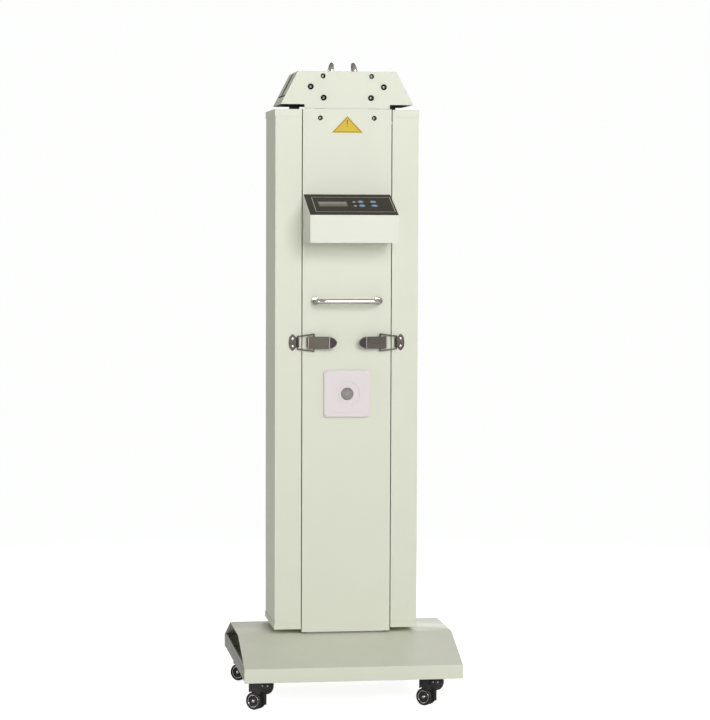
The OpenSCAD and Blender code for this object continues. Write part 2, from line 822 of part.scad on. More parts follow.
// Two small bow loops on the head, leaning towards each other
module lifting_loops() {
    r = loop_span / 2;
    lean = 10;
    leg = loop_h - loop_d / 2 - r;
    foot = loop_d / 2 * sin(lean) + 0.2;
    color("#C3BFB4") both_sides() translate([23, head_mid_y, head_z1]) {
        rotate([0, -lean, 0]) {
            for (y = [-r, r]) translate([0, y, foot]) cylinder(d = loop_d, h = leg - foot);
            translate([0, 0, leg]) rotate([90, 0, 90]) rotate_extrude(angle = 180)
                translate([r, 0]) circle(d = loop_d);
        }
        for (y = [-r, r]) translate([0, y, 0]) cylinder(d = loop_d + 5, h = 1.6);
    }
}

// ---- arms, drawn on the right ----

module arm_shell(side) {
    lip = 6;
    y0 = front_y + sheet_t;
    y1 = back_y - sheet_t;
    color("#DCDFCD") on_side(side) difference() {
        span([arm_x0, front_y, arm_z0], [arm_x1, back_y, arm_z1]);
        span([arm_x0 + sheet_t, y0, arm_z0 - 1], [web_x, y1, arm_z1 + 1]);
        span([arm_x0 - 1, y0 + lip, arm_z0 - 1], [web_x - 1, y1 - lip, arm_z1 + 1]);
        span([arm_x0 - 1, y0, nest_z], [web_x, y1, arm_z1 + 1]);
    }
}

module trim_band(z0, z1) {
    difference() {
        span([arm_x0, front_y - trim_t, z0], [arm_x1 + trim_t, back_y + trim_t, z1]);
        span([arm_x0 - 1, front_y, z0 - 1], [arm_x1, back_y, z1 + 1]);
    }
}

module arm_trims(side) {
    color("#D6D9C7") on_side(side) {
        trim_band(arm_z1 - band_h, arm_z1);
        trim_band(arm_z0, arm_z0 + 10);
        span([arm_x0, front_y - trim_t, arm_z0 - trim_t], [arm_x1 + trim_t, back_y + trim_t, arm_z0]);
    }
}

// The neck: a hub on the pivot, a plate down into the arm, a foot on the arm's web and a guard plate.
// The plate's finger meets the stop bolt when the arm hangs.
module arm_neck(side) {
    plate_y0 = head_mid_y - neck_t / 2;
    plate_y1 = head_mid_y + neck_t / 2;
    hub_y0 = frame_y0 + wall_t + washer_t + 0.3;
    hub_y1 = frame_y1 - wall_t - washer_t - 0.3;
    z_head = head_z0 - pivot_z;
    z_arm = arm_z1 - pivot_z;
    z_foot = nest_z - pivot_z;
    x_in = arm_x0 - pivot_x + 2;
    x_foot = web_x - pivot_x;
    x_top = side_x(head_z1) - pivot_x;
    z_guard = head_z0 + guard_h - pivot_z;
    guard_in = side_x(head_z0) - side_run - pivot_x;
    guard_top = side_x(head_z0 + guard_h) - side_run - pivot_x;
    finger = 245;
    reach = norm([stop_x - pivot_x, stop_z - pivot_z]);
    tip = pivot_rise - 1;
    color("#B4B5AF") on_side(side) difference() {
        union() {
            translate([pivot_x, 0, pivot_z]) {
                bar_y(boss_r, hub_y0, hub_y1);
                bar_y(boss_r + 3, plate_y0, plate_y1);
                along_y(plate_y0, plate_y1) polygon([
                    [9, 8], [x_top - 1.4, -12], [x_top + 2.4, z_guard - 6], [x_top + 5, z_guard - 9],
                    [guard_top + 0.3, z_guard - 1], [guard_in + 0.3, z_head + 1], [x_in + 13.5, z_head - 2],
                    [x_in + 13.5, z_arm - 5], [x_foot, z_arm - 16], [x_foot, z_foot], [x_foot - 6, z_foot],
                    [x_in, z_foot + 6],
                    [x_in, z_arm - 3], [x_in - 5, z_arm + 1.8], [x_in - 5, z_head - 1],
                    [reach * cos(finger + 8), -tip], [reach * cos(finger), -tip],
                    [reach * cos(finger - 8), reach * sin(finger - 8) + 4], [-9, -6], [-8, 6]
                ]);
            }
            along_y(head_mid_y - guard_w / 2, head_mid_y + guard_w / 2) polygon([
                [side_x(head_z0), head_z0],
                [side_x(head_z0 + guard_h), head_z0 + guard_h],
                [side_x(head_z0 + guard_h) - side_run, head_z0 + guard_h],
                [side_x(head_z0) - side_run, head_z0]
            ]);
            span([web_x - neck_foot_t, head_mid_y - 40, nest_z - 46], [web_x, head_mid_y + 40, arm_z1 - 12]);
        }
        translate([pivot_x, 0, pivot_z]) bar_y(pivot_d / 2 + running_gap, head_y0, head_y1);
    }
}

// A bright folded sheet behind the tube
module reflector(side) {
    t = 0.8;
    half = mast_d / 2 - sheet_t;
    back = web_x - 4;
    color("#CFD3D6") on_side(side) translate([0, mid_y, tube_z0 + 6]) linear_extrude(tube_z1 - tube_z0 - 12)
        polygon([
            [arm_x0 + 5, half], [arm_x0 + 12, half], [back, 34], [back, -34], [arm_x0 + 12, -half],
            [arm_x0 + 5, -half], [arm_x0 + 5, -half + t], [arm_x0 + 11.5, -half + t], [back - t, -34 + t / 2],
            [back - t, 34 - t / 2], [arm_x0 + 11.5, half - t], [arm_x0 + 5, half - t]
        ]);
}

// A straight hollow tube with a metal cap and two pins at each end
module uv_tube(side) {
    cap = 16;
    color("#DDE6EA") on_side(side) translate([tube_x, mid_y, 0]) {
        difference() {
            union() {
                translate([0, 0, tube_z0 + cap]) cylinder(d = tube_d - 0.6, h = tube_z1 - tube_z0 - 2 * cap);
                for (z = [tube_z0, tube_z1 - cap]) translate([0, 0, z]) cylinder(d = tube_d, h = cap);
            }
            translate([0, 0, tube_z0 + 2]) cylinder(d = tube_d - 2.6, h = tube_z1 - tube_z0 - 4);
        }
        for (y = [-6.35, 6.35]) {
            translate([0, y, tube_z0 - pin_l]) cylinder(d = 2.4, h = pin_l);
            translate([0, y, tube_z1]) cylinder(d = 2.4, h = pin_l);
        }
    }
}

module lamp_holder(wall_x) {
    difference() {
        union() {
            span([-holder_d / 2, -holder_w / 2, 0], [holder_d / 2, holder_w / 2, holder_h]);
            span([0, -holder_w / 2, 0], [wall_x - tube_x, holder_w / 2, 3]);
        }
        span([-1.5, -8, holder_h - pin_l - 1], [1.5, 8, holder_h + 1]);
    }
}

module lamp_holders(side) {
    color("#ECECE6") on_side(side) translate([tube_x, mid_y, 0]) {
        translate([0, 0, holder_z0]) lamp_holder(web_x);
        translate([0, 0, tube_z1 + tube_gap + holder_h]) mirror([0, 0, 1]) lamp_holder(web_x - neck_foot_t);
    }
}

// ---- latches, drawn on the right, with the hinge as their own origin ----

// Direction at angle a from outward (+u) towards the front (+v), as x and y
function toward(a, len) = [len * cos(a), -len * sin(a)];
bail_pivot_r = norm([bail_arm, pivot_drop]);
bail_pivot_a = 180 + atan2(pivot_drop, bail_arm) - lever_rest;
bail_angle = bail_closed + (bail_ratio - 1) * lever_rest;
catch_x = hinge_x - bail_arm + bail_reach; // the crossbar when the latch is shut

module at_hinge(side) {
    on_side(side) translate([hinge_x, front_y - hinge_v, latch_z]) children();
}

module latch_bases() {
    x0 = hinge_x - lever_len + 14;
    x1 = hinge_x + 5;
    ear = lever_w / 2 - lever_t - 0.3;
    ear_t = 1.6;
    color("#7F7870") both_sides() {
        span([x0, front_y - 1.2, latch_z - ear], [x1, front_y, latch_z + ear]);
        for (z = [-ear, ear - ear_t]) translate([hinge_x, front_y - hinge_v, latch_z + z]) {
            cylinder(r = 2.5, h = ear_t);
            span([-3, 0, 0], [1.5, hinge_v - 1, ear_t]);
        }
        translate([hinge_x, front_y - hinge_v, latch_z - lever_w / 2 - 0.6])
            cylinder(d = hinge_d, h = lever_w + 1.2);
    }
}

// A folded plate with side flanges and a thicker nose between two arcs
module latch_lever(side) {
    straight = lever_len - lever_nose - 3;
    half = lever_w / 2;
    nose_half = half - 0.6;
    nose_r = (pow(lever_nose, 2) + pow(nose_half, 2)) / (2 * nose_half);
    color("#857D74") at_hinge(side) rotate([0, 0, lever_rest]) difference() {
        union() {
            span([-straight, -3 - lever_t, -half], [2.5, -3, half]);
            for (s = [-1, 1]) mirror([0, 0, s < 0 ? 1 : 0]) {
                span([-straight, -3.5, half - lever_t], [2.5, 1.5, half]);
                translate([0, 0, half - lever_t]) cylinder(r = 3, h = lever_t);
            }
            intersection() {
                translate([-straight, -3 - lever_t, nose_half - nose_r]) rotate([-90, 0, 0])
                    cylinder(r = nose_r, h = lever_t + 1.2);
                translate([-straight, -3 - lever_t, nose_r - nose_half]) rotate([-90, 0, 0])
                    cylinder(r = nose_r, h = lever_t + 1.2);
                span([-straight - 2 * lever_nose, -10, -half], [-straight + 0.01, 10, half]);
            }
        }
        cylinder(d = hinge_d + 2 * running_gap, h = 60, center = true);
        translate([-bail_arm, pivot_drop, 0]) cylinder(d = bail_d + 2 * running_gap, h = 60, center = true);
    }
}

// A wire loop: two pivot ends turned in, two legs that draw together, and a crossbar
module latch_bail(side) {
    p = toward(bail_pivot_a, bail_pivot_r);
    r = bail_d / 2;
    z0 = bail_w0 / 2;
    z1 = bail_w1 / 2;
    lean = atan2(z0 - z1, bail_reach);
    leg = norm([z0 - z1, bail_reach]);
    in = lever_w / 2 - lever_t;
    color("#5E5650") at_hinge(side) translate([p[0], p[1], 0]) rotate([0, 0, -bail_angle]) {
        translate([bail_reach, 0, -z1]) cylinder(r = r, h = 2 * z1);
        for (s = [-1, 1]) mirror([0, 0, s < 0 ? 1 : 0]) {
            translate([0, 0, in]) cylinder(r = r, h = z0 - in);
            translate([0, 0, z0]) sphere(r = r * 1.04);
            translate([0, 0, z0]) rotate([0, 90 + lean, 0]) cylinder(r = r, h = leg);
            translate([bail_reach, 0, z1]) sphere(r = r * 1.04);
        }
    }
}

// A pointed oval plate on the arm, two rivets, and an upright lip that the crossbar drops behind
module latch_keeper(side) {
    lip_x1 = catch_x - bail_d / 2 - 0.55;
    lip_x0 = lip_x1 - lip_t;
    x1 = lip_x0 + 19;
    mid = lip_x1 + 10;
    lip_half = bail_w1 / 2 - bail_d / 2 - 1.5;
    color("#7A736B") on_side(side) {
        translate([0, 0, latch_z]) along_y(front_y - 1.2, front_y)
            polygon([
                [lip_x0, -lip_half], [lip_x1 + 3, -lip_half], [mid - 1, -15], [mid + 1.5, -15],
                [x1 - 1, -9], [x1, 0], [x1 - 1, 9], [mid + 1.5, 15], [mid - 1, 15],
                [lip_x1 + 3, lip_half], [lip_x0, lip_half]
            ]);
        span([lip_x0, front_y - lip_v, latch_z - lip_half], [lip_x1, front_y, latch_z + lip_half]);
        for (z = [-6.8, 6.8]) translate([mid, 0, latch_z + z]) dome_head(2.6, front_y - 1.2, 1.1);
    }
}

base_cover();
base_frame();
ballast_plate();
caster_mounts();
mast_foot();
mast_front_panel();
mast_rear_cover();
mast_posts();
mast_screws();
power_inlet();
lamp_ballasts();
power_board();
control_shell();
control_overlay();
lcd_window();
control_board();
status_leds();
key(0);  // key_1
key(1);  // key_2
key(2);  // key_3
key(3);  // key_4
sensor_plate();
sensor_lens();
sensor_body();
front_handle();
warning_label();
head_cover();
head_rear_plate();
head_frame();
head_screws();
stop_bolts();
pivot_bolts();
lifting_loops();
latch_bases();
arm_shell(-1);  // arm_shell_left
arm_trims(-1);  // arm_trims_left
arm_neck(-1);  // arm_neck_left
reflector(-1);  // reflector_left
uv_tube(-1);  // uv_tube_left
lamp_holders(-1);  // lamp_holders_left
latch_keeper(-1);  // latch_keeper_left
latch_lever(-1);  // latch_lever_left
latch_bail(-1);  // latch_bail_left
arm_shell(1);  // arm_shell_right
arm_trims(1);  // arm_trims_right
arm_neck(1);  // arm_neck_right
reflector(1);  // reflector_right
uv_tube(1);  // uv_tube_right
lamp_holders(1);  // lamp_holders_right
latch_keeper(1);  // latch_keeper_right
latch_lever(1);  // latch_lever_right
latch_bail(1);  // latch_bail_right
caster_hood(0);  // caster_hood_fl
caster_hood(1);  // caster_hood_fr
caster_hood(2);  // caster_hood_bl
caster_hood(3);  // caster_hood_br
caster_wheels(0);  // caster_wheels_fl
caster_wheels(1);  // caster_wheels_fr
caster_wheels(2);  // caster_wheels_bl
caster_wheels(3);  // caster_wheels_br
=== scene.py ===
import json
import math

import bmesh
import bpy
from mathutils import Matrix, Vector


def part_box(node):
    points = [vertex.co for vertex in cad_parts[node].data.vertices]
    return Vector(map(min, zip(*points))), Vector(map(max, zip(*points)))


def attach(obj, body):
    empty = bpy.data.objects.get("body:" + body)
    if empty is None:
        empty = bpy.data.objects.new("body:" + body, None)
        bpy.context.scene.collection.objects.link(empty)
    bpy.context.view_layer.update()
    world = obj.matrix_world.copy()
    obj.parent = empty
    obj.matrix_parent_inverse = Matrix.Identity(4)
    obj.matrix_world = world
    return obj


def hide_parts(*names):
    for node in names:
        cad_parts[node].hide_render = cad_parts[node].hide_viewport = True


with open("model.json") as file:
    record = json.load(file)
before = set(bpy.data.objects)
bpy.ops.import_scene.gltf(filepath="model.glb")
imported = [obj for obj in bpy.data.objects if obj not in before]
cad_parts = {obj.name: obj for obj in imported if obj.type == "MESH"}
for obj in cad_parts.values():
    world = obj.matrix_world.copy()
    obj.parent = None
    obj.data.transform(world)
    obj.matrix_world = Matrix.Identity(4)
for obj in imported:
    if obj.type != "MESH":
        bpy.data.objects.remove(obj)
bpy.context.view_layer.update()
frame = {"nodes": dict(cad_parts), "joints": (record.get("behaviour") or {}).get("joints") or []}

cad_node = frame["nodes"]
joint_named = {joint["name"]: joint for joint in frame["joints"]}
SIDES = {"left": -1, "right": 1}
CORNERS = ("fl", "fr", "bl", "br")
mm = 0.001

# ---- Studio ----
# A soft photographic studio: a long lens a little left of the front, a wide softbox beside it, weaker light
# from all round, and a pale floor that fades into the white surround.
scene = bpy.context.scene
scene.view_settings.view_transform = "Standard"

camera_place = (-0.6471, -4.6217, 0.9051)
camera_turn, camera_dip, camera_roll = (math.radians(angle) for angle in (8.3, 3.4, 0.2))
ahead = Vector((
    math.sin(camera_turn) * math.cos(camera_dip),
    math.cos(camera_turn) * math.cos(camera_dip),
    -math.sin(camera_dip),
))
rightward = Vector((math.cos(camera_turn), -math.sin(camera_turn), 0))
upward = rightward.cross(ahead)
camera = bpy.data.objects.new("camera", bpy.data.cameras.new("camera"))
camera_x = rightward * math.cos(camera_roll) + upward * math.sin(camera_roll)
camera_y = upward * math.cos(camera_roll) - rightward * math.sin(camera_roll)
camera.matrix_world = (
    Matrix.Translation(camera_place)
    @ Matrix((camera_x, camera_y, -ahead)).transposed().to_4x4()
)
camera.data.lens = 124.835
camera.data.sensor_width = 36
scene.collection.objects.link(camera)
scene.camera = camera


def add_node(tree, kind, inputs=None, **settings):
    """Adds a node; inputs maps a socket's name or number to a value or to another node's output."""
    node = tree.nodes.new(kind)
    for name, value in settings.items():
        setattr(node, name, value)
    for socket, value in (inputs or {}).items():
        if isinstance(value, bpy.types.NodeSocket):
            tree.links.new(value, node.inputs[socket])
        else:
            node.inputs[socket].default_value = value
    return node


def softbox(name, place, target, width, height, power):
    lamp = bpy.data.lights.new(name, "AREA")
    lamp.shape = "RECTANGLE"
    lamp.size = width
    lamp.size_y = height
    lamp.energy = power
    holder = bpy.data.objects.new(name, lamp)
    holder.location = place
    holder.rotation_euler = (Vector(target) - Vector(place)).to_track_quat("-Z", "Y").to_euler()
    scene.collection.objects.link(holder)


softbox("front softbox", (0.5, -4.3, 1.8), (0, 0, 0.5), 2.0, 1.6, 100)
softbox("side softbox", (-4.5, -1.0, 0.8), (0, 0, 0.6), 1.5, 1.5, 22)
softbox("back softbox", (1.6, 4.0, 2.2), (0, 0, 0.6), 2.4, 2.4, 60)

light_below, light_above = 0.46, 0.31
surround_white = (0.98, 0.99, 0.98, 1)
surround = bpy.data.worlds.new("surround")
scene.world = surround
surround.use_nodes = True
sky = surround.node_tree
sky.nodes.clear()
light_path = add_node(sky, "ShaderNodeLightPath")
direction = add_node(sky, "ShaderNodeTexCoord")
rise = add_node(sky, "ShaderNodeSeparateXYZ", {0: direction.outputs["Generated"]})
shade = add_node(sky, "ShaderNodeMapRange", {"Value": rise.outputs["Z"], "From Min": -0.3, "From Max": 0.9,
                                            "To Min": light_below, "To Max": light_above})
ambient = add_node(sky, "ShaderNodeBackground", {"Color": (1.0, 0.985, 0.96, 1),
                                                 "Strength": shade.outputs[0]})
white = add_node(sky, "ShaderNodeBackground", {"Color": surround_white, "Strength": 1.0})
seen = add_node(sky, "ShaderNodeMixShader", {0: light_path.outputs["Is Camera Ray"], 1: ambient.outputs[0],
                                             2: white.outputs[0]})
add_node(sky, "ShaderNodeOutputWorld", {"Surface": seen.outputs[0]})

floor_radius = 14
fade_from, fade_to = 0.35, 2.4
floor_mesh = bmesh.new()
bmesh.ops.create_circle(floor_mesh, cap_ends=True, segments=96, radius=floor_radius)
floor_data = bpy.data.meshes.new("floor")
floor_mesh.to_mesh(floor_data)
floor = bpy.data.objects.new("floor", floor_data)
floor.location.z = -0.0002
scene.collection.objects.link(floor)
pale = bpy.data.materials.new("pale floor")
pale.use_nodes = True
tree = pale.node_tree
tree.nodes.clear()
spot = add_node(tree, "ShaderNodeTexCoord")
distance = add_node(tree, "ShaderNodeVectorMath", {0: spot.outputs["Object"]}, operation="LENGTH")
fade = add_node(tree, "ShaderNodeMapRange", {"Value": distance.outputs["Value"], "From Min": fade_from,
                                             "From Max": fade_to}, interpolation_type="SMOOTHSTEP")
speckle = add_node(tree, "ShaderNodeTexNoise", {"Vector": spot.outputs["Object"], "Scale": 40.0,
                                                "Detail": 5.0})
tone = add_node(tree, "ShaderNodeMapRange", {"Value": speckle.outputs["Fac"], "To Min": 0.84, "To Max": 0.90})
matt = add_node(tree, "ShaderNodeBsdfDiffuse", {"Color": tone.outputs[0]})
glow = add_node(tree, "ShaderNodeEmission", {"Color": surround_white, "Strength": 0.86})
lifted = add_node(tree, "ShaderNodeAddShader", {0: matt.outputs[0], 1: glow.outputs[0]})
clear_glow = add_node(tree, "ShaderNodeEmission", {"Color": surround_white, "Strength": 1.0})
far_mix = add_node(tree, "ShaderNodeMixShader", {0: fade.outputs[0], 1: lifted.outputs[0],
                                                 2: clear_glow.outputs[0]})
ray = add_node(tree, "ShaderNodeLightPath")
by_ray = add_node(tree, "ShaderNodeMixShader", {0: ray.outputs["Is Camera Ray"], 1: matt.outputs[0],
                                                2: far_mix.outputs[0]})
add_node(tree, "ShaderNodeOutputMaterial", {"Surface": by_ray.outputs[0]})
floor_data.materials.append(pale)

# ---- Base frame and ballast ----
# Two open steel rails run front to back inside the base, joined by two cross channels that carry a flat
# cast iron weight. Rails and channels are welded and primed grey, and the weight is painted black.


def start_group(name, inputs, outputs):
    """A shader node group with named inputs (name, kind, value) and outputs (name, kind)."""
    group = bpy.data.node_groups.new(name, "ShaderNodeTree")
    for label, kind, value in inputs:
        group.interface.new_socket(label, in_out="INPUT", socket_type=kind).default_value = value
    for label, kind in outputs:
        group.interface.new_socket(label, in_out="OUTPUT", socket_type=kind)
    return group, group.nodes.new("NodeGroupInput"), group.nodes.new("NodeGroupOutput")


NUMBER, COLOUR = "NodeSocketFloat", "NodeSocketColor"

# Fine lumps of a sprayed or moulded surface, with broad clouds of slightly different gloss
grain, grain_in, grain_out = start_group(
    "surface grain",
    [("Scale", NUMBER, 900.0), ("Roughness", NUMBER, 0.4), ("Spread", NUMBER, 0.1)],
    [("Height", NUMBER), ("Roughness", NUMBER), ("Cloud", NUMBER)],
)
where = add_node(grain, "ShaderNodeTexCoord")
fine = add_node(grain, "ShaderNodeTexNoise", {"Vector": where.outputs["Object"],
                                              "Scale": grain_in.outputs["Scale"], "Detail": 2.0})
cloud = add_node(grain, "ShaderNodeTexNoise", {"Vector": where.outputs["Object"], "Scale": 14.0,
                                               "Detail": 3.0})
centred = add_node(grain, "ShaderNodeMath", {0: cloud.outputs["Fac"], 1: 0.5}, operation="SUBTRACT")
rough = add_node(grain, "ShaderNodeMath", {0: centred.outputs[0], 1: grain_in.outputs["Spread"],
                                           2: grain_in.outputs["Roughness"]}, operation="MULTIPLY_ADD")
grain.links.new(fine.outputs["Fac"], grain_out.inputs["Height"])
grain.links.new(rough.outputs[0], grain_out.inputs["Roughness"])
grain.links.new(cloud.outputs["Fac"], grain_out.inputs["Cloud"])

# Edges turned to another colour, in patches. Where the edge colour is a lighter tone of the face this paints
# a highlight along the edge; elsewhere it is rubbed wear.
wear_and_highlight, wear_and_highlight_in, wear_and_highlight_out = start_group(
    "edge wear",
    [("Color", COLOUR, (1, 1, 1, 1)), ("Edge Color", COLOUR, (1, 1, 1, 1)), ("Width", NUMBER, 0.001),
     ("Amount", NUMBER, 0.5)],
    [("Color", COLOUR), ("Mask", NUMBER)],
)
rounded = add_node(wear_and_highlight, "ShaderNodeBevel", {"Radius": wear_and_highlight_in.outputs["Width"]}, samples=4)
surface = add_node(wear_and_highlight, "ShaderNodeNewGeometry")
turn = add_node(wear_and_highlight, "ShaderNodeVectorMath", {0: rounded.outputs[0], 1: surface.outputs["Normal"]},
                operation="DOT_PRODUCT")
bend = add_node(wear_and_highlight, "ShaderNodeMapRange", {"Value": turn.outputs["Value"], "From Min": 0.995,
                                             "From Max": 0.8, "To Min": 0.0, "To Max": 1.0})
place = add_node(wear_and_highlight, "ShaderNodeTexCoord")
patches = add_node(wear_and_highlight, "ShaderNodeTexNoise", {"Vector": place.outputs["Object"], "Scale": 160.0,
                                                "Detail": 4.0})
patchy = add_node(wear_and_highlight, "ShaderNodeMapRange", {"Value": patches.outputs["Fac"], "From Min": 0.35,
                                               "From Max": 0.7})
worn_and_highlit = add_node(wear_and_highlight, "ShaderNodeMath", {0: bend.outputs[0], 1: patchy.outputs[0]}, operation="MULTIPLY")
much = add_node(wear_and_highlight, "ShaderNodeMath", {0: worn_and_highlit.outputs[0], 1: wear_and_highlight_in.outputs["Amount"]},
                operation="MULTIPLY", use_clamp=True)
blended = add_node(wear_and_highlight, "ShaderNodeMix", {"Factor": much.outputs[0], 6: wear_and_highlight_in.outputs["Color"],
                                           7: wear_and_highlight_in.outputs["Edge Color"]}, data_type="RGBA")
wear_and_highlight.links.new(blended.outputs[2], wear_and_highlight_out.inputs["Color"])
wear_and_highlight.links.new(much.outputs[0], wear_and_highlight_out.inputs["Mask"])

# A thin veil of dust on faces that look up, thicker near the floor
dust, dust_in, dust_out = start_group(
    "dust",
    [("Color", COLOUR, (1, 1, 1, 1)), ("Dust Color", COLOUR, (0.32, 0.30, 0.26, 1)), ("Amount", NUMBER, 0.2)],
    [("Color", COLOUR), ("Mask", NUMBER)],
)
facing = add_node(dust, "ShaderNodeNewGeometry")
facing_z = add_node(dust, "ShaderNodeSeparateXYZ", {0: facing.outputs["Normal"]})
upper = add_node(dust, "ShaderNodeMapRange", {"Value": facing_z.outputs["Z"], "From Min": 0.1,
                                              "From Max": 1.0})
spots = add_node(dust, "ShaderNodeTexCoord")
height = add_node(dust, "ShaderNodeSeparateXYZ", {0: spots.outputs["Object"]})
low = add_node(dust, "ShaderNodeMapRange", {"Value": height.outputs["Z"], "From Min": 0.25, "From Max": 0.0,
                                            "To Min": 0.15, "To Max": 1.0})
drift = add_node(dust, "ShaderNodeTexNoise", {"Vector": spots.outputs["Object"], "Scale": 30.0,
                                              "Detail": 6.0})
lies = add_node(dust, "ShaderNodeMath", {0: upper.outputs[0], 1: low.outputs[0]}, operation="MULTIPLY")
thick = add_node(dust, "ShaderNodeMath", {0: lies.outputs[0], 1: drift.outputs["Fac"]}, operation="MULTIPLY")
veil = add_node(dust, "ShaderNodeMath", {0: thick.outputs[0], 1: dust_in.outputs["Amount"]},
                operation="MULTIPLY", use_clamp=True)
dusted = add_node(dust, "ShaderNodeMix", {"Factor": veil.outputs[0], 6: dust_in.outputs["Color"],
                                          7: dust_in.outputs["Dust Color"]}, data_type="RGBA")
dust.links.new(dusted.outputs[2], dust_out.inputs["Color"])
dust.links.new(veil.outputs[0], dust_out.inputs["Mask"])


def use_group(tree, group, inputs):
    node = tree.nodes.new("ShaderNodeGroup")
    node.node_tree = group
    for socket, value in inputs.items():
        if isinstance(value, bpy.types.NodeSocket):
            tree.links.new(value, node.inputs[socket])
        else:
            node.inputs[socket].default_value = value
    return node


def start_material(name, **constants):
    """A material whose Principled shader holds these constants; returns it with its tree and its shader."""
    material = bpy.data.materials.new(name)
    material.use_nodes = True
    shader = material.node_tree.nodes["Principled BSDF"]
    for socket, value in constants.items():
        shader.inputs[socket.replace("_", " ")].default_value = value
    return material, material.node_tree, shader


def coated(name, colour, edge_colour, grain_scale, roughness, bump=0.1, spread=0.12, tint=0.04,
           edge_amount=0.5, edge_width=0.0008, dust_amount=0.25, **constants):
    """Paint, moulded plastic or plated metal: clouds of tint, edges in another colour (rubbed wear, and a
    painted highlight where the edge colour is lighter), dust and a fine grain.
    """
    material, tree, shader = start_material(name, **constants)
    skin = use_group(tree, grain, {"Scale": grain_scale, "Roughness": roughness, "Spread": spread})
    darker = [channel * (1 - tint) for channel in colour] + [1]
    lighter = [min(channel * (1 + tint), 1) for channel in colour] + [1]
    tinted = add_node(tree, "ShaderNodeMix", {"Factor": skin.outputs["Cloud"], 6: darker, 7: lighter},
                      data_type="RGBA")
    edged = use_group(tree, wear_and_highlight, {"Color": tinted.outputs[2], "Edge Color": (*edge_colour, 1),
                                   "Width": edge_width, "Amount": edge_amount})
    veiled = use_group(tree, dust, {"Color": edged.outputs["Color"], "Amount": dust_amount})
    relief = add_node(tree, "ShaderNodeBump", {"Height": skin.outputs["Height"], "Strength": bump,
                                               "Distance": 0.0004})
    tree.links.new(veiled.outputs["Color"], shader.inputs["Base Color"])
    tree.links.new(skin.outputs["Roughness"], shader.inputs["Roughness"])
    tree.links.new(relief.outputs[0], shader.inputs["Normal"])
    return material


def dress(name, material, edge=0.4 * mm, steps=2, merge=True):
    """Gives a node its material, merges its flat faces and breaks its sharp edges."""
    piece = cad_node[name]
    piece.data.materials.clear()
    piece.data.materials.append(material)
    if "custom_normal" in piece.data.attributes:
        piece.data.attributes.remove(piece.data.attributes["custom_normal"])
    piece.data.shade_smooth()
    piece.modifiers.new("weld", "WELD").merge_threshold = 1e-6
    if merge:
        flat = piece.modifiers.new("flat faces", "DECIMATE")
        flat.decimate_type = "DISSOLVE"
        flat.angle_limit = math.radians(0.5)
    broken = piece.modifiers.new("broken edges", "BEVEL")
    broken.width = edge
    broken.segments = steps
    broken.limit_method = "ANGLE"
    broken.angle_limit = math.radians(35)
    broken.miter_outer = "MITER_ARC"
    broken.loop_slide = merge
    even = piece.modifiers.new("even shading", "WEIGHTED_NORMAL")
    even.weight = 100
    return piece


primer = coated("grey primer", (0.42, 0.42, 0.38), (0.30, 0.29, 0.27), 700, 0.62, tint=0.08, dust_amount=0.5)
dress("base_frame", primer)
dress("mast_foot", primer)
dress("mast_posts", primer)
dress("head_frame", primer)
iron_paint = coated("black iron paint", (0.045, 0.045, 0.045), (0.16, 0.13, 0.11), 420, 0.55, bump=0.4,
                    tint=0.2)
dress("ballast_plate", iron_paint, 1.5 * mm)

# ---- Base cover ----
# One folded sheet of steel, powder coated cream, with an upright lip at front and back, two slopes and a
# flat top. It is open at both ends and bolted down through the foot of the mast.
# Its lighter cream edge colour paints a highlight along the folded edges.
powder_coat = coated("cream powder coat", (0.72, 0.74, 0.62), (0.80, 0.81, 0.72), 650, 0.42, bump=0.12,
                     spread=0.16, tint=0.02, edge_amount=0.5, dust_amount=0.2, Specular_IOR_Level=0.45)
dress("base_cover", powder_coat, 0.7 * mm, merge=False)

# ---- Casters ----
# Four twin-wheel casters. A zinc plate and stem are screwed to the rail, a black nylon hood turns on the
# stem, and two rubber-treaded wheels turn on one axle, each with a bright pressed ring and an axle cap.
zinc = coated("zinc plate", (0.55, 0.54, 0.50), (0.75, 0.74, 0.70), 300, 0.34, bump=0.15, spread=0.2,
              tint=0.12, Metallic=0.9)
dress("caster_mounts", zinc, 0.3 * mm)
nylon = coated("black nylon", (0.022, 0.020, 0.018), (0.07, 0.065, 0.06), 1200, 0.38, bump=0.15, tint=0.1,
               edge_amount=0.6, dust_amount=0.18)
tread_rubber = coated("tread rubber", (0.020, 0.019, 0.018), (0.06, 0.055, 0.05), 800, 0.55, bump=0.35,
                      tint=0.15, dust_amount=0.35)


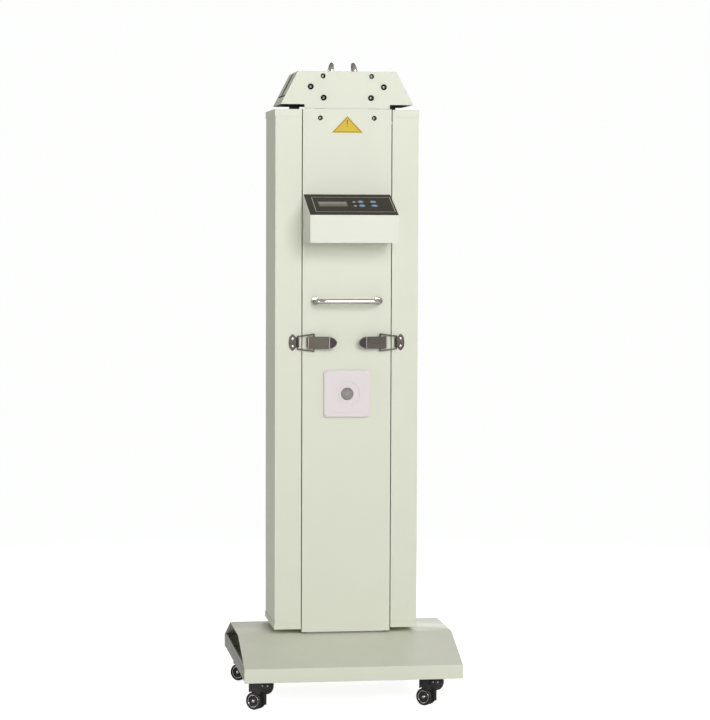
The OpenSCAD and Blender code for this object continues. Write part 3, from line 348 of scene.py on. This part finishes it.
def polished(name, colour, painted_shade_colour, roughness=0.12, bump=0.05, grazing_shade_from=0.25, grazing_shade_to=0.75):
    """Plated or polished metal: fine scratches and fingerprints in its gloss, a painted shade where it turns
    away from the camera, and a painted shade in its recesses.
    """
    material, tree, shader = start_material(name, Metallic=1.0)
    skin = use_group(tree, grain, {"Scale": 260.0, "Roughness": roughness, "Spread": 0.18})
    # The base colour turns to the shade colour as the surface turns away from the camera: painted shade.
    view = add_node(tree, "ShaderNodeLayerWeight", {"Blend": 0.5})
    turned = add_node(tree, "ShaderNodeMapRange", {"Value": view.outputs["Facing"], "From Min": grazing_shade_from,
                                                   "From Max": grazing_shade_to})
    shaded = add_node(tree, "ShaderNodeMix", {"Factor": turned.outputs[0], 6: (*colour, 1), 7: (*painted_shade_colour, 1)},
                      data_type="RGBA")
    # Ambient occlusion darkens the base colour in nooks and next to other parts: painted shade.
    recess_occlusion = add_node(tree, "ShaderNodeAmbientOcclusion", {"Distance": 0.0025}, samples=8)
    recess_shade_mask = add_node(tree, "ShaderNodeMapRange", {"Value": recess_occlusion.outputs["AO"], "From Min": 0.85,
                                                 "From Max": 0.45})
    sunk = add_node(tree, "ShaderNodeMix", {"Factor": recess_shade_mask.outputs[0], 6: shaded.outputs[2], 7: (*painted_shade_colour, 1)},
                    data_type="RGBA")
    veiled = use_group(tree, dust, {"Color": sunk.outputs[2], "Amount": 0.1})
    relief = add_node(tree, "ShaderNodeBump", {"Height": skin.outputs["Height"], "Strength": bump,
                                               "Distance": 0.0002})
    tree.links.new(veiled.outputs["Color"], shader.inputs["Base Color"])
    tree.links.new(skin.outputs["Roughness"], shader.inputs["Roughness"])
    tree.links.new(relief.outputs[0], shader.inputs["Normal"])
    return material


chrome = polished("chrome", (0.80, 0.78, 0.73), (0.10, 0.09, 0.08))


def make_piece(name, mesh, material, body, sharp=35):
    """Turns a bmesh into a shaded piece that rides on a body."""
    bmesh.ops.recalc_face_normals(mesh, faces=mesh.faces)
    data = bpy.data.meshes.new(name)
    mesh.to_mesh(data)
    mesh.free()
    data.shade_smooth()
    data.set_sharp_from_angle(angle=math.radians(sharp))
    data.materials.append(material)
    piece = bpy.data.objects.new(name, data)
    scene.collection.objects.link(piece)
    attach(piece, body)
    return piece


def turn_outline(mesh, outline, place, axis, steps=72):
    """Adds to mesh the outline's (radius, height) points turned about an axis through place."""
    axis = Vector(axis).normalized()
    across = axis.orthogonal().normalized()
    along = axis.cross(across)
    rings = []
    for radius, height in outline:
        centre = Vector(place) + axis * height
        count = steps if radius > 0 else 1
        angles = [math.tau * step / steps for step in range(count)]
        rings.append([
            mesh.verts.new(centre + (across * math.cos(angle) + along * math.sin(angle)) * radius)
            for angle in angles
        ])
    for inner, outer in zip(rings, rings[1:]):
        for step in range(steps):
            after = (step + 1) % steps
            corners = [inner[step % len(inner)], inner[after % len(inner)], outer[after % len(outer)],
                       outer[step % len(outer)]]
            unique = list(dict.fromkeys(corners))
            if len(unique) > 2:
                mesh.faces.new(unique)


def arc(centre, radius, start, stop, steps=6):
    """Points of (radius, height) on an arc between two angles in degrees."""
    return [
        (centre[0] + radius * math.cos(math.radians(start + (stop - start) * step / steps)),
         centre[1] + radius * math.sin(math.radians(start + (stop - start) * step / steps)))
        for step in range(steps + 1)
    ]


wheel_r = 16 * mm
wheel_inner = 3.1 * mm
wheel_outer = 10.4 * mm
inner_round = 1.2 * mm
tread_round = 2.2 * mm
lip_round = 1 * mm
ring_r = 11.0 * mm
ring_thick = 0.8 * mm
ring_depth = 1.3 * mm
cap_r = 3.4 * mm
cap_seat = wheel_outer - 1.8 * mm
cap_rise = 1.8 * mm
TYRE = (
    [(0, wheel_inner), (wheel_r - inner_round, wheel_inner)]
    + arc((wheel_r - inner_round, wheel_inner + inner_round), inner_round, -90, 0, 4)
    + arc((wheel_r - tread_round, wheel_outer - tread_round), tread_round, 0, 90)
    + arc((ring_r + 2.2 * mm, wheel_outer - lip_round), lip_round, 90, 180, 4)
    + [(ring_r + 1.2 * mm, wheel_outer - 2.4 * mm), (ring_r - 1.4 * mm, wheel_outer - 2.6 * mm)]
    + [(cap_r + 3 * mm, wheel_outer - 3.6 * mm), (cap_r + 0.6 * mm, cap_seat), (0, cap_seat)]
)
RING = [(ring_r + x, wheel_outer - ring_depth + y) for x, y in arc((0, 0), ring_thick, 0, 360, 12)]
CAP = [(0, wheel_outer - 2 * mm), (cap_r, wheel_outer - 2 * mm)] + [
    (cap_r * math.cos(t), wheel_outer - 1.2 * mm + cap_rise * math.sin(t))
    for t in (math.radians(angle) for angle in range(0, 90, 15))
] + [(0, wheel_outer + 0.5 * mm)]
axle_r = 2.5 * mm
rivet_r = 1.3 * mm
rivet_z = 47 * mm
RIVET_ANGLES = (-80, -43, 43, 80)
RIVET = [(0, -0.3 * mm), (rivet_r, -0.3 * mm), (rivet_r, 0), (rivet_r * 0.7, 0.35 * mm), (0, 0.5 * mm)]
nose_r = 14.5 * mm
for corner in CORNERS:
    dress("caster_hood_" + corner, nylon, 0.8 * mm, 3)
    joint = joint_named["spin_" + corner]
    swivel = Vector(joint_named["swivel_" + corner]["pos_m"])
    heading = Vector(joint["pos_m"]) - swivel
    heading = -Vector((heading.x, heading.y, 0)).normalized()
    studs = bmesh.new()
    for angle in RIVET_ANGLES:
        outward = Matrix.Rotation(math.radians(angle), 3, "Z") @ heading
        turn_outline(studs, RIVET, Vector((swivel.x, swivel.y, rivet_z)) + outward * nose_r, outward, 20)
    make_piece("hood_rivets_" + corner, studs, chrome, "hood_" + corner)
    centre = Vector(joint["pos_m"])
    axle = Vector(joint["axis"])
    body = "wheels_" + corner
    tyres, rings, caps = bmesh.new(), bmesh.new(), bmesh.new()
    for direction in (axle, -axle):
        turn_outline(tyres, TYRE, centre, direction)
        turn_outline(rings, RING, centre, direction)
        turn_outline(caps, CAP, centre, direction, 40)
    turn_outline(caps, [(0, -wheel_outer / 2), (axle_r, -wheel_outer / 2), (axle_r, wheel_outer / 2),
                        (0, wheel_outer / 2)], centre, axle, 32)
    tyre_pair = make_piece("tyres_" + corner, tyres, tread_rubber, body)
    make_piece("wheel_rings_" + corner, rings, chrome, body)
    make_piece("axle_caps_" + corner, caps, chrome, body)
    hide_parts("caster_wheels_" + corner)

# ---- Mast ----
# A folded front panel and a rear cover make the mast, which stands on a foot plate. Both are powder coated
# like the base. The rear cover has two groups of vents, and two posts inside carry the load.
dress("mast_front_panel", powder_coat, 0.5 * mm)
dress("mast_rear_cover", powder_coat, 0.4 * mm, merge=False)

# ---- Screws and bolts ----
# Pan-head screws with a cross recess hold the head to the mast. The pivot and stop bolts have larger domed
# heads that stand off the sheet on a collar. All are zinc plated steel.
# Facing the camera the heads are near white, and within a little of their edge they turn near black: a
# painted highlight in the middle and a painted dark outline.
bolt_steel = polished("plated bolt steel", (0.95, 0.93, 0.88), (0.01, 0.009, 0.008), 0.35, 0.1, 0.015, 0.085)
# The cross recesses are not cut; a near-black cross laid over each head paints the shadow in the recess.
recess_shadow_paint = coated("cross recess shadow", (0.030, 0.026, 0.022), (0.10, 0.09, 0.08), 900, 0.5,
                     dust_amount=0.1)


def dome_height(reach, radius, rise):
    """How far a dome stands out at a distance from its middle."""
    dome_r = (radius ** 2 + rise ** 2) / (2 * rise)
    return rise - dome_r + math.sqrt(dome_r ** 2 - reach ** 2)


def screw_head(mesh, place, radius, rise, collar):
    """Adds a domed head on a short collar at place, looking forward."""
    reaches = [radius * math.cos(math.radians(angle)) for angle in range(0, 90, 11)] + [0]
    crown = [(reach, collar + dome_height(reach, radius, rise)) for reach in reaches]
    sunk = -0.2 * mm
    turn_outline(mesh, [(0, sunk), (radius, sunk)] + crown, place, (0, -1, 0), 40)


def cross_recess_shadow(mesh, place, radius, rise, collar):
    """Adds a dark cross that follows the dome where the recess of a head is: a painted shadow on the head,
    not a cut recess.
    """
    half_width = radius * 0.1
    half_length = radius * 0.55
    sideways, upright = Vector((1, 0, 0)), Vector((0, 0, 1))
    for along, across in ((sideways, upright), (upright, sideways)):
        rings = []
        for step in range(-4, 5):
            reach = half_length * step / 4
            height = collar + dome_height(reach, radius, rise)
            rings.append([
                mesh.verts.new(place + along * reach + across * side + Vector((0, -height - out, 0)))
                for side, out in ((-half_width, -0.15 * mm), (half_width, -0.15 * mm),
                                  (half_width, 0.06 * mm), (-half_width, 0.06 * mm))
            ])
        for ring, following in zip(rings, rings[1:]):
            for first in range(4):
                after = (first + 1) % 4
                mesh.faces.new((ring[first], ring[after], following[after], following[first]))
        mesh.faces.new(rings[0])
        mesh.faces.new(rings[-1])


def heads(name, places, radius, rise, collar=0.3 * mm):
    """Makes the heads at these places, and the painted shadows of the recesses in them."""
    mesh = bmesh.new()
    shadow_crosses = bmesh.new()
    for place in places:
        screw_head(mesh, place, radius, rise, collar)
        cross_recess_shadow(shadow_crosses, place, radius, rise, collar)
    make_piece(name + "_recess_shadows", shadow_crosses, recess_shadow_paint, "trolley")
    return make_piece(name, mesh, bolt_steel, "trolley")


def mirrored(x, y, z):
    return [Vector((side * x, y, z)) for side in (-1, 1)]


mast_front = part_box("mast_front_panel")[0].y
head_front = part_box("head_cover")[0].y
screw_r = 4.5 * mm
screw_rise = 2.0 * mm
mast_screw_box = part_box("mast_screws")
mast_heads = heads("mast_screw_heads", mirrored(mast_screw_box[1].x - screw_r, mast_front,
                                                mast_screw_box[1].z - screw_r), screw_r, screw_rise)
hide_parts("mast_screws")
head_screw_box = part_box("head_screws")
head_heads = heads("head_screw_heads", mirrored(head_screw_box[1].x - screw_r, head_front,
                                                head_screw_box[1].z - screw_r), screw_r, screw_rise)
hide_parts("head_screws")
bolt_r = 5.3 * mm
bolt_rise = 3.0 * mm
bolt_collar = 2.05 * mm
nut_r = 7.2 * mm
pivot = Vector(joint_named["arm_right_swing"]["pos_m"])
stop_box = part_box("stop_bolts")
stop_x = stop_box[1].x - nut_r
stop_z = (stop_box[0].z + stop_box[1].z) / 2
bolt_places = mirrored(pivot.x, head_front, pivot.z) + mirrored(stop_x, head_front, stop_z)
heads("bolt_heads", bolt_places, bolt_r, bolt_rise, bolt_collar)
dress("stop_bolts", zinc, 0.3 * mm)
dress("pivot_bolts", zinc, 0.3 * mm)

# ---- Supply and boards ----
# A black appliance inlet sits low on the rear wall. Behind it a power board and two enamelled ballasts are
# screwed to the wall, and the control board sits under the panel.
dress("power_inlet", nylon, 0.5 * mm)
enamel = coated("white enamel", (0.66, 0.66, 0.62), (0.5, 0.5, 0.48), 900, 0.3, tint=0.03)
dress("lamp_ballasts", enamel, 0.8 * mm)

board_green, board_tree, board_shader = start_material("solder mask", Roughness=0.35)
board_where = add_node(board_tree, "ShaderNodeTexCoord")
tracks = add_node(board_tree, "ShaderNodeTexVoronoi", {"Vector": board_where.outputs["Object"],
                                                       "Scale": 260.0}, feature="DISTANCE_TO_EDGE")
track_mask = add_node(board_tree, "ShaderNodeMapRange", {"Value": tracks.outputs["Distance"],
                                                         "From Min": 0.05, "From Max": 0.09})
board_colour = add_node(board_tree, "ShaderNodeMix", {"Factor": track_mask.outputs[0],
                                                      6: (0.10, 0.30, 0.12, 1), 7: (0.03, 0.14, 0.06, 1)},
                        data_type="RGBA")
board_relief = add_node(board_tree, "ShaderNodeBump", {"Height": track_mask.outputs[0], "Strength": 0.3,
                                                       "Distance": 0.0001}, invert=True)
board_tree.links.new(board_colour.outputs[2], board_shader.inputs["Base Color"])
board_tree.links.new(board_relief.outputs[0], board_shader.inputs["Normal"])
dress("power_board", board_green, 0.2 * mm)
dress("control_board", board_green, 0.2 * mm)

# ---- Control box ----
# A moulded off-white shell hooks onto the mast under a glossy black panel film with a fine printed border, a
# grey display, two status lamps and four domed blue keys.
# Its lighter edge colour, strong here, paints a highlight along the shell's edges.
shell_plastic = coated("shell plastic", (0.73, 0.75, 0.66), (0.86, 0.87, 0.80), 1500, 0.4, bump=0.1,
                       tint=0.015, edge_amount=0.8, dust_amount=0.05)
dress("control_shell", shell_plastic, 1.0 * mm, 3)
# Its grey edge colour paints a highlight on the film's bevelled edges.
panel_film = coated("black panel film", (0.030, 0.025, 0.018), (0.17, 0.16, 0.14), 1400, 0.5, bump=0.05,
                    tint=0.05, edge_amount=0.9, edge_width=0.0010, dust_amount=0.02, Specular_IOR_Level=0.18)
dress("control_overlay", panel_film, 0.3 * mm, merge=False)

panel_out = -Vector(joint_named["key_1_press"]["axis"])
panel_up = Vector((1, 0, 0)).cross(-panel_out).normalized()
panel_up *= 1 if panel_up.z > 0 else -1
panel_origin = Vector((0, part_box("control_shell")[0].y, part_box("control_overlay")[0].z))


def add_prism(mesh, outline, place, thickness_from, thickness_to):
    """Adds a flat plate: place maps (across, up, out) to a point, and outline holds (across, up) points."""
    lower = [mesh.verts.new(place(across, up, thickness_from)) for across, up in outline]
    upper = [mesh.verts.new(place(across, up, thickness_to)) for across, up in outline]
    mesh.faces.new(lower)
    mesh.faces.new(list(reversed(upper)))
    for first in range(len(outline)):
        after = (first + 1) % len(outline)
        mesh.faces.new((lower[first], lower[after], upper[after], upper[first]))


def on_panel(across, up, out):
    """Maps distances across, up and off the slanted panel to a point."""
    return panel_origin + Vector((across, 0, 0)) + panel_up * up + panel_out * out


film_top = 1.2 * mm
frame_x = (-68.5 * mm, 76.6 * mm)
frame_s = (12.7 * mm, 89.4 * mm)
line = 1.1 * mm
border = bmesh.new()
for low_x, high_x, low_s, high_s in (
    (frame_x[0], frame_x[1], frame_s[0], frame_s[0] + line),
    (frame_x[0], frame_x[1], frame_s[1] - line, frame_s[1]),
    (frame_x[0], frame_x[0] + line, frame_s[0], frame_s[1]),
    (frame_x[1] - line, frame_x[1], frame_s[0], frame_s[1]),
):
    add_prism(border, [(low_x, low_s), (high_x, low_s), (high_x, high_s), (low_x, high_s)], on_panel,
              film_top - 0.1 * mm, film_top + 0.06 * mm)
printed_grey = coated("printed grey", (0.58, 0.55, 0.47), (0.5, 0.48, 0.42), 1400, 0.5, tint=0.12,
                      dust_amount=0.05)
make_piece("panel_border", border, printed_grey, "trolley")

# ---- Display, lamps and keys ----
# The display is a clear window over a grey liquid crystal cell with faint columns. The keys are glossy blue
# domes that click, and the status lamps are small frosted studs.
display, display_tree, display_shader = start_material("display window", Roughness=0.35, Coat_Weight=0.1)
display_where = add_node(display_tree, "ShaderNodeTexCoord")
column_x = add_node(display_tree, "ShaderNodeSeparateXYZ", {0: display_where.outputs["Object"]})
column_wave = add_node(display_tree, "ShaderNodeMath", {0: column_x.outputs["X"], 1: 2300.0},
                       operation="MULTIPLY")
column_sine = add_node(display_tree, "ShaderNodeMath", {0: column_wave.outputs[0]}, operation="SINE")
column_mask = add_node(display_tree, "ShaderNodeMapRange", {"Value": column_sine.outputs[0],
                                                            "From Min": -1.0, "From Max": 1.0})
cell_colour = add_node(display_tree, "ShaderNodeMix", {"Factor": column_mask.outputs[0],
                                                       6: (0.115, 0.108, 0.09, 1),
                                                       7: (0.16, 0.15, 0.125, 1)}, data_type="RGBA")
window_low, window_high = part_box("lcd_window")
row = add_node(display_tree, "ShaderNodeMapRange", {"Value": column_x.outputs["Z"], "From Min": window_low.z,
                                                    "From Max": window_high.z})
upper_row = add_node(display_tree, "ShaderNodeMapRange", {"Value": row.outputs[0], "From Min": 0.60,
                                                          "From Max": 0.66})
banded = add_node(display_tree, "ShaderNodeMix", {"Factor": upper_row.outputs[0], 6: cell_colour.outputs[2],
                                                  7: (0.27, 0.26, 0.22, 1)}, data_type="RGBA")
display_tree.links.new(banded.outputs[2], display_shader.inputs["Base Color"])
dress("lcd_window", display, 0.2 * mm)
key_blue = coated("key blue", (0.13, 0.26, 0.42), (0.45, 0.52, 0.58), 900, 0.2, bump=0.03, tint=0.05,
                  dust_amount=0.0, Coat_Weight=0.6)
for number in range(1, 5):
    dress(f"key_{number}", key_blue, 0.2 * mm)
frosted = coated("frosted stud", (0.55, 0.56, 0.50), (0.7, 0.7, 0.66), 800, 0.35, tint=0.04, dust_amount=0.0)
dress("status_leds", frosted, 0.15 * mm)

# ---- Sensor ----
# A moulded wall plate, faintly pink against the cream, with a shallow dish, a collar and a small grey lens of
# many facets. The body behind it sits in a round hole of the mast.
# Its lighter edge colour paints a highlight along the plate's edges.
plate_plastic = coated("plate plastic", (0.78, 0.72, 0.73), (0.9, 0.88, 0.88), 1500, 0.25, bump=0.04,
                       tint=0.01, edge_amount=0.5, dust_amount=0.03, Coat_Weight=0.3)
dress("sensor_plate", plate_plastic, 0.8 * mm, 3)
dress("sensor_body", plate_plastic, 0.4 * mm)
lens_grey = coated("lens grey", (0.30, 0.29, 0.27), (0.5, 0.49, 0.46), 500, 0.3, bump=0.3, tint=0.1,
                   dust_amount=0.0)
lens_low, lens_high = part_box("sensor_lens")
lens_r = (lens_high.x - lens_low.x) / 2
lens_centre = ((lens_low.x + lens_high.x) / 2, lens_low.y + lens_r, (lens_low.z + lens_high.z) / 2)
facets = bmesh.new()
bmesh.ops.create_icosphere(facets, subdivisions=3, radius=lens_r, matrix=Matrix.Translation(lens_centre))
lens = make_piece("lens_facets", facets, lens_grey, "trolley", sharp=1)
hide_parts("sensor_lens")

# ---- Handle and loops ----
# A bent chromed bar with a round rosette at each end is screwed to the mast, and two small chromed bows
# stand on the head for lifting.
dress("front_handle", chrome, 0.3 * mm)
dress("lifting_loops", chrome, 0.3 * mm)

# ---- Label ----
# A yellow film triangle stuck to the mast under the head, printed with a dark border and a red exclamation
# mark.
label_yellow = coated("label yellow", (0.70, 0.50, 0.035), (0.7, 0.6, 0.3), 1200, 0.5, bump=0.03, tint=0.03,
                      edge_amount=0.0, dust_amount=0.0, Specular_IOR_Level=0.25)
dress("warning_label", label_yellow, 0.1 * mm)
label_low, label_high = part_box("warning_label")
label_half = label_high.x
label_rise = label_high.z - label_low.z


def on_label(across, up, out):
    """Maps distances across, up and off the label to a point."""
    return Vector((across, label_low.y - out, label_low.z + up))


def triangle(inset):
    """The label's outline drawn in by inset, as (across, up) points."""
    side_inset = inset * math.hypot(label_half, label_rise) / label_rise
    top_inset = inset * math.hypot(label_half, label_rise) / label_half
    run = label_half / label_rise
    return [(-label_half + side_inset + inset * run, inset), (label_half - side_inset - inset * run, inset),
            (0, label_rise - top_inset)]


ink_back, ink_front = -0.1 * mm, 0.05 * mm
outer, inner = triangle(1.3 * mm), triangle(2.2 * mm)
label_lines = bmesh.new()
for first in range(3):
    after = (first + 1) % 3
    add_prism(label_lines, [outer[first], outer[after], inner[after], inner[first]], on_label, ink_back,
              ink_front)
label_ink = coated("dark label ink", (0.06, 0.04, 0.02), (0.1, 0.08, 0.05), 1200, 0.45, tint=0.1,
                   dust_amount=0.0)
make_piece("label_border", label_lines, label_ink, "trolley")
stroke_foot, stroke_top = 14.5 * mm, 24 * mm
dot_r = 1.1 * mm
dot_rise = 11.6 * mm
mark = bmesh.new()
add_prism(mark, [(-0.8 * mm, stroke_foot), (0.8 * mm, stroke_foot), (1.4 * mm, stroke_top),
                 (-1.4 * mm, stroke_top)], on_label, ink_back, ink_front)
add_prism(mark, arc((0, dot_rise), dot_r, 0, 330, 11), on_label, ink_back, ink_front)
red_ink = coated("red label ink", (0.42, 0.07, 0.03), (0.5, 0.15, 0.1), 1200, 0.45, tint=0.1,
                 dust_amount=0.0)
make_piece("label_mark", mark, red_ink, "trolley")

# ---- Head ----
# A folded cover with slanted sides hides the hinge frame. Each side has a slot that the neck of an arm swings
# through, flanked by near-black strips that paint the shade inside the slot, and the rear is closed by a
# plate.
dress("head_cover", powder_coat, 0.5 * mm, merge=False)
dress("head_rear_plate", powder_coat, 0.4 * mm)
# Near-black strips on each slanted side, either side of the slot, paint the shade inside it.
slot_shade_paint = coated("slot shade", (0.006, 0.006, 0.006), (0.03, 0.028, 0.026), 700, 0.7, bump=0.2, tint=0.1,
                     dust_amount=0.05)
pivot_rise = 32.3 * mm
head_top_x = 91 * mm
head_z0 = pivot.z - pivot_rise
head_z1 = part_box("head_cover")[1].z
head_foot_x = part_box("head_cover")[1].x
head_slant = (head_foot_x - head_top_x) / (head_z1 - head_z0)
slot_shade_z0, slot_shade_z1 = head_z0 + 20 * mm, head_z1 - 2.5 * mm
slot_edge, slot_shade_edge = 6.8 * mm, 11 * mm
slot_shade = bmesh.new()
for sign in (-1, 1):
    def on_side(across, up, out, sign=sign):
        """Maps a distance along y, a height and a distance off the slanted side of the head to a point."""
        return Vector((sign * (head_foot_x - (up - head_z0) * head_slant + out), across, up))

    for start, stop in ((-slot_shade_edge, -slot_edge), (slot_edge, slot_shade_edge)):
        corners = [(pivot.y + start, slot_shade_z0), (pivot.y + stop, slot_shade_z0),
                   (pivot.y + stop, slot_shade_z1), (pivot.y + start, slot_shade_z1)]
        add_prism(slot_shade, corners, on_side, -0.1 * mm, 0.4 * mm)
make_piece("slot_shade_strips", slot_shade, slot_shade_paint, "trolley")

# ---- Arms ----
# Each arm is a folded channel, open towards the mast, with a trim band at either end. A machined neck bolts
# to its web. Inside are a bright reflector, two lamp holders and a quartz tube.
reflector_metal = polished("bright aluminium", (0.82, 0.84, 0.86), (0.70, 0.72, 0.75), 0.08)
holder_plastic = coated("holder plastic", (0.72, 0.72, 0.68), (0.85, 0.85, 0.8), 1100, 0.28, tint=0.02)
tube_glass, tube_tree, tube_shader = start_material("tube glass", Transmission_Weight=0.85, IOR=1.46)
tube_where = add_node(tube_tree, "ShaderNodeTexCoord")
haze = add_node(tube_tree, "ShaderNodeTexNoise", {"Vector": tube_where.outputs["Object"], "Scale": 60.0})
tube_rough = add_node(tube_tree, "ShaderNodeMapRange", {"Value": haze.outputs["Fac"], "To Min": 0.02,
                                                        "To Max": 0.1})
tube_tree.links.new(tube_rough.outputs[0], tube_shader.inputs["Roughness"])
# The necks are near black so that they paint the shade seen in the head's slots; the guard plate keeps the
# cream coat.
neck_slot_shade = coated("neck steel dark as slot shade", (0.028, 0.026, 0.024), (0.12, 0.11, 0.10), 500, 0.5, bump=0.2,
                    tint=0.15, dust_amount=0.2)
guard_h = 15.5 * mm
guard_reach = 20 * mm
tube_cap = 16 * mm
tube_pin = 6 * mm


def second_material(piece, material, chosen):
    """Gives another material to the faces of a piece whose corners, in the shared frame, are chosen."""
    piece.data.materials.append(material)
    for face in piece.data.polygons:
        corners = [piece.matrix_world @ piece.data.vertices[index].co for index in face.vertices]
        if chosen(corners):
            face.material_index = 1


def is_guard(corners):
    """The plate that closes a side opening of the head is painted like the head."""
    near_head = all(head_z0 - 0.5 * mm < corner.z < head_z0 + guard_h for corner in corners)
    return near_head and max(abs(corner.y - pivot.y) for corner in corners) > guard_reach


for side in SIDES:
    dress(f"arm_shell_{side}", powder_coat, 0.5 * mm)
    dress(f"arm_trims_{side}", powder_coat, 0.3 * mm)
    second_material(dress(f"arm_neck_{side}", neck_slot_shade, 0.4 * mm), powder_coat, is_guard)
    dress(f"reflector_{side}", reflector_metal, 0.1 * mm)
    dress(f"lamp_holders_{side}", holder_plastic, 0.8 * mm)
    tube_low, tube_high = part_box(f"uv_tube_{side}")
    glass_low = tube_low.z + tube_pin + tube_cap + 0.01 * mm
    glass_high = tube_high.z - tube_pin - tube_cap - 0.01 * mm
    second_material(
        dress(f"uv_tube_{side}", tube_glass, 0.2 * mm), reflector_metal,
        lambda corners: max(corner.z for corner in corners) < glass_low
        or min(corner.z for corner in corners) > glass_high,
    )

# ---- Latches ----
# Two draw latches of nickel plated steel: a riveted keeper with an upright lip on each arm, and on the mast a
# pinned lever with a wire bail.
latch_nickel = polished("latch nickel", (0.20, 0.18, 0.15), (0.05, 0.045, 0.04), 0.28, 0.3)
dress("latch_bases", latch_nickel, 0.2 * mm)
keeper_dark = polished("dark keeper nickel", (0.085, 0.075, 0.065), (0.03, 0.028, 0.025), 0.3, 0.3)
wire = polished("bail wire", (0.10, 0.09, 0.08), (0.02, 0.02, 0.02), 0.2)
tip_dark = coated("dark lever tip", (0.035, 0.03, 0.025), (0.2, 0.19, 0.17), 400, 0.4, bump=0.3, tint=0.2,
                  dust_amount=0.1)
# Bright nickel bands across both ends of each lever paint the highlights on its edges; the keeper rivets take
# the same bright nickel.
nickel_highlight = polished("nickel edge highlight", (0.85, 0.83, 0.78), (0.4, 0.38, 0.35), 0.2)
lever_open = math.radians(12)
lever_face = 4.5 * mm
lever_straight = 38 * mm
lever_half = 10.4 * mm
nose_length = 13.5 * mm
HIGHLIGHT_BANDS = ((-2.2 * mm, -0.9 * mm), (lever_straight - 1.2 * mm, lever_straight + 0.2 * mm))
rivet_in = 11.6 * mm
rivet_apart = 6.8 * mm
nose_arc = (nose_length ** 2 + lever_half ** 2) / (2 * lever_half)
keeper_r, keeper_rise = 2.7 * mm, 1.2 * mm
KEEPER_RIVET = [(0, 0), (keeper_r, 0)] + [
    (keeper_r * math.cos(t), keeper_rise * math.sin(t))
    for t in (math.radians(angle) for angle in range(15, 90, 15))
] + [(0, keeper_rise)]
for side, sign in SIDES.items():
    dress(f"latch_keeper_{side}", keeper_dark, 0.2 * mm)
    dress(f"latch_lever_{side}", latch_nickel, 0.3 * mm)
    dress(f"latch_bail_{side}", wire, 0.2 * mm)
    hinge = Vector(joint_named[f"lever_{side}_turn"]["pos_m"])

    def on_lever(along, up, out, sign=sign, hinge=hinge):
        """Maps a distance along the lever, a height and a distance off its hinge line to a point at rest."""
        lift = along * math.sin(lever_open) + out * math.cos(lever_open)
        return Vector((hinge.x - sign * (along * math.cos(lever_open) - out * math.sin(lever_open)),
                       hinge.y - lift, hinge.z + up))

    nose_steps = [step / 10 for step in range(11)]
    half_nose = [
        (lever_straight + 0.8 * mm + step * nose_length * 0.88,
         (math.sqrt(nose_arc ** 2 - (step * nose_length) ** 2) - nose_arc + lever_half) * 0.84)
        for step in nose_steps
    ]
    tip = bmesh.new()
    add_prism(tip, half_nose + [(along, -up) for along, up in reversed(half_nose[:-1])], on_lever,
              lever_face - 0.3 * mm, lever_face + 0.25 * mm)
    make_piece("lever_tip_" + side, tip, tip_dark, "lever_" + side)
    edges = bmesh.new()
    for start, stop in HIGHLIGHT_BANDS:
        add_prism(edges, [(start, -lever_half), (stop, -lever_half), (stop, lever_half), (start, lever_half)],
                  on_lever, lever_face - 0.3 * mm, lever_face + 0.3 * mm)
    make_piece("lever_highlight_bands_" + side, edges, nickel_highlight, "lever_" + side)
    keeper_low, keeper_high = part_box(f"latch_keeper_{side}")
    rivet_x = (keeper_low.x if sign > 0 else keeper_high.x) + sign * rivet_in
    rivets = bmesh.new()
    for rise in (-rivet_apart, rivet_apart):
        turn_outline(rivets, KEEPER_RIVET, (rivet_x, mast_front - 1.2 * mm, hinge.z + rise), (0, -1, 0), 28)
    make_piece("keeper_rivets_" + side, rivets, nickel_highlight, "arm_" + side)
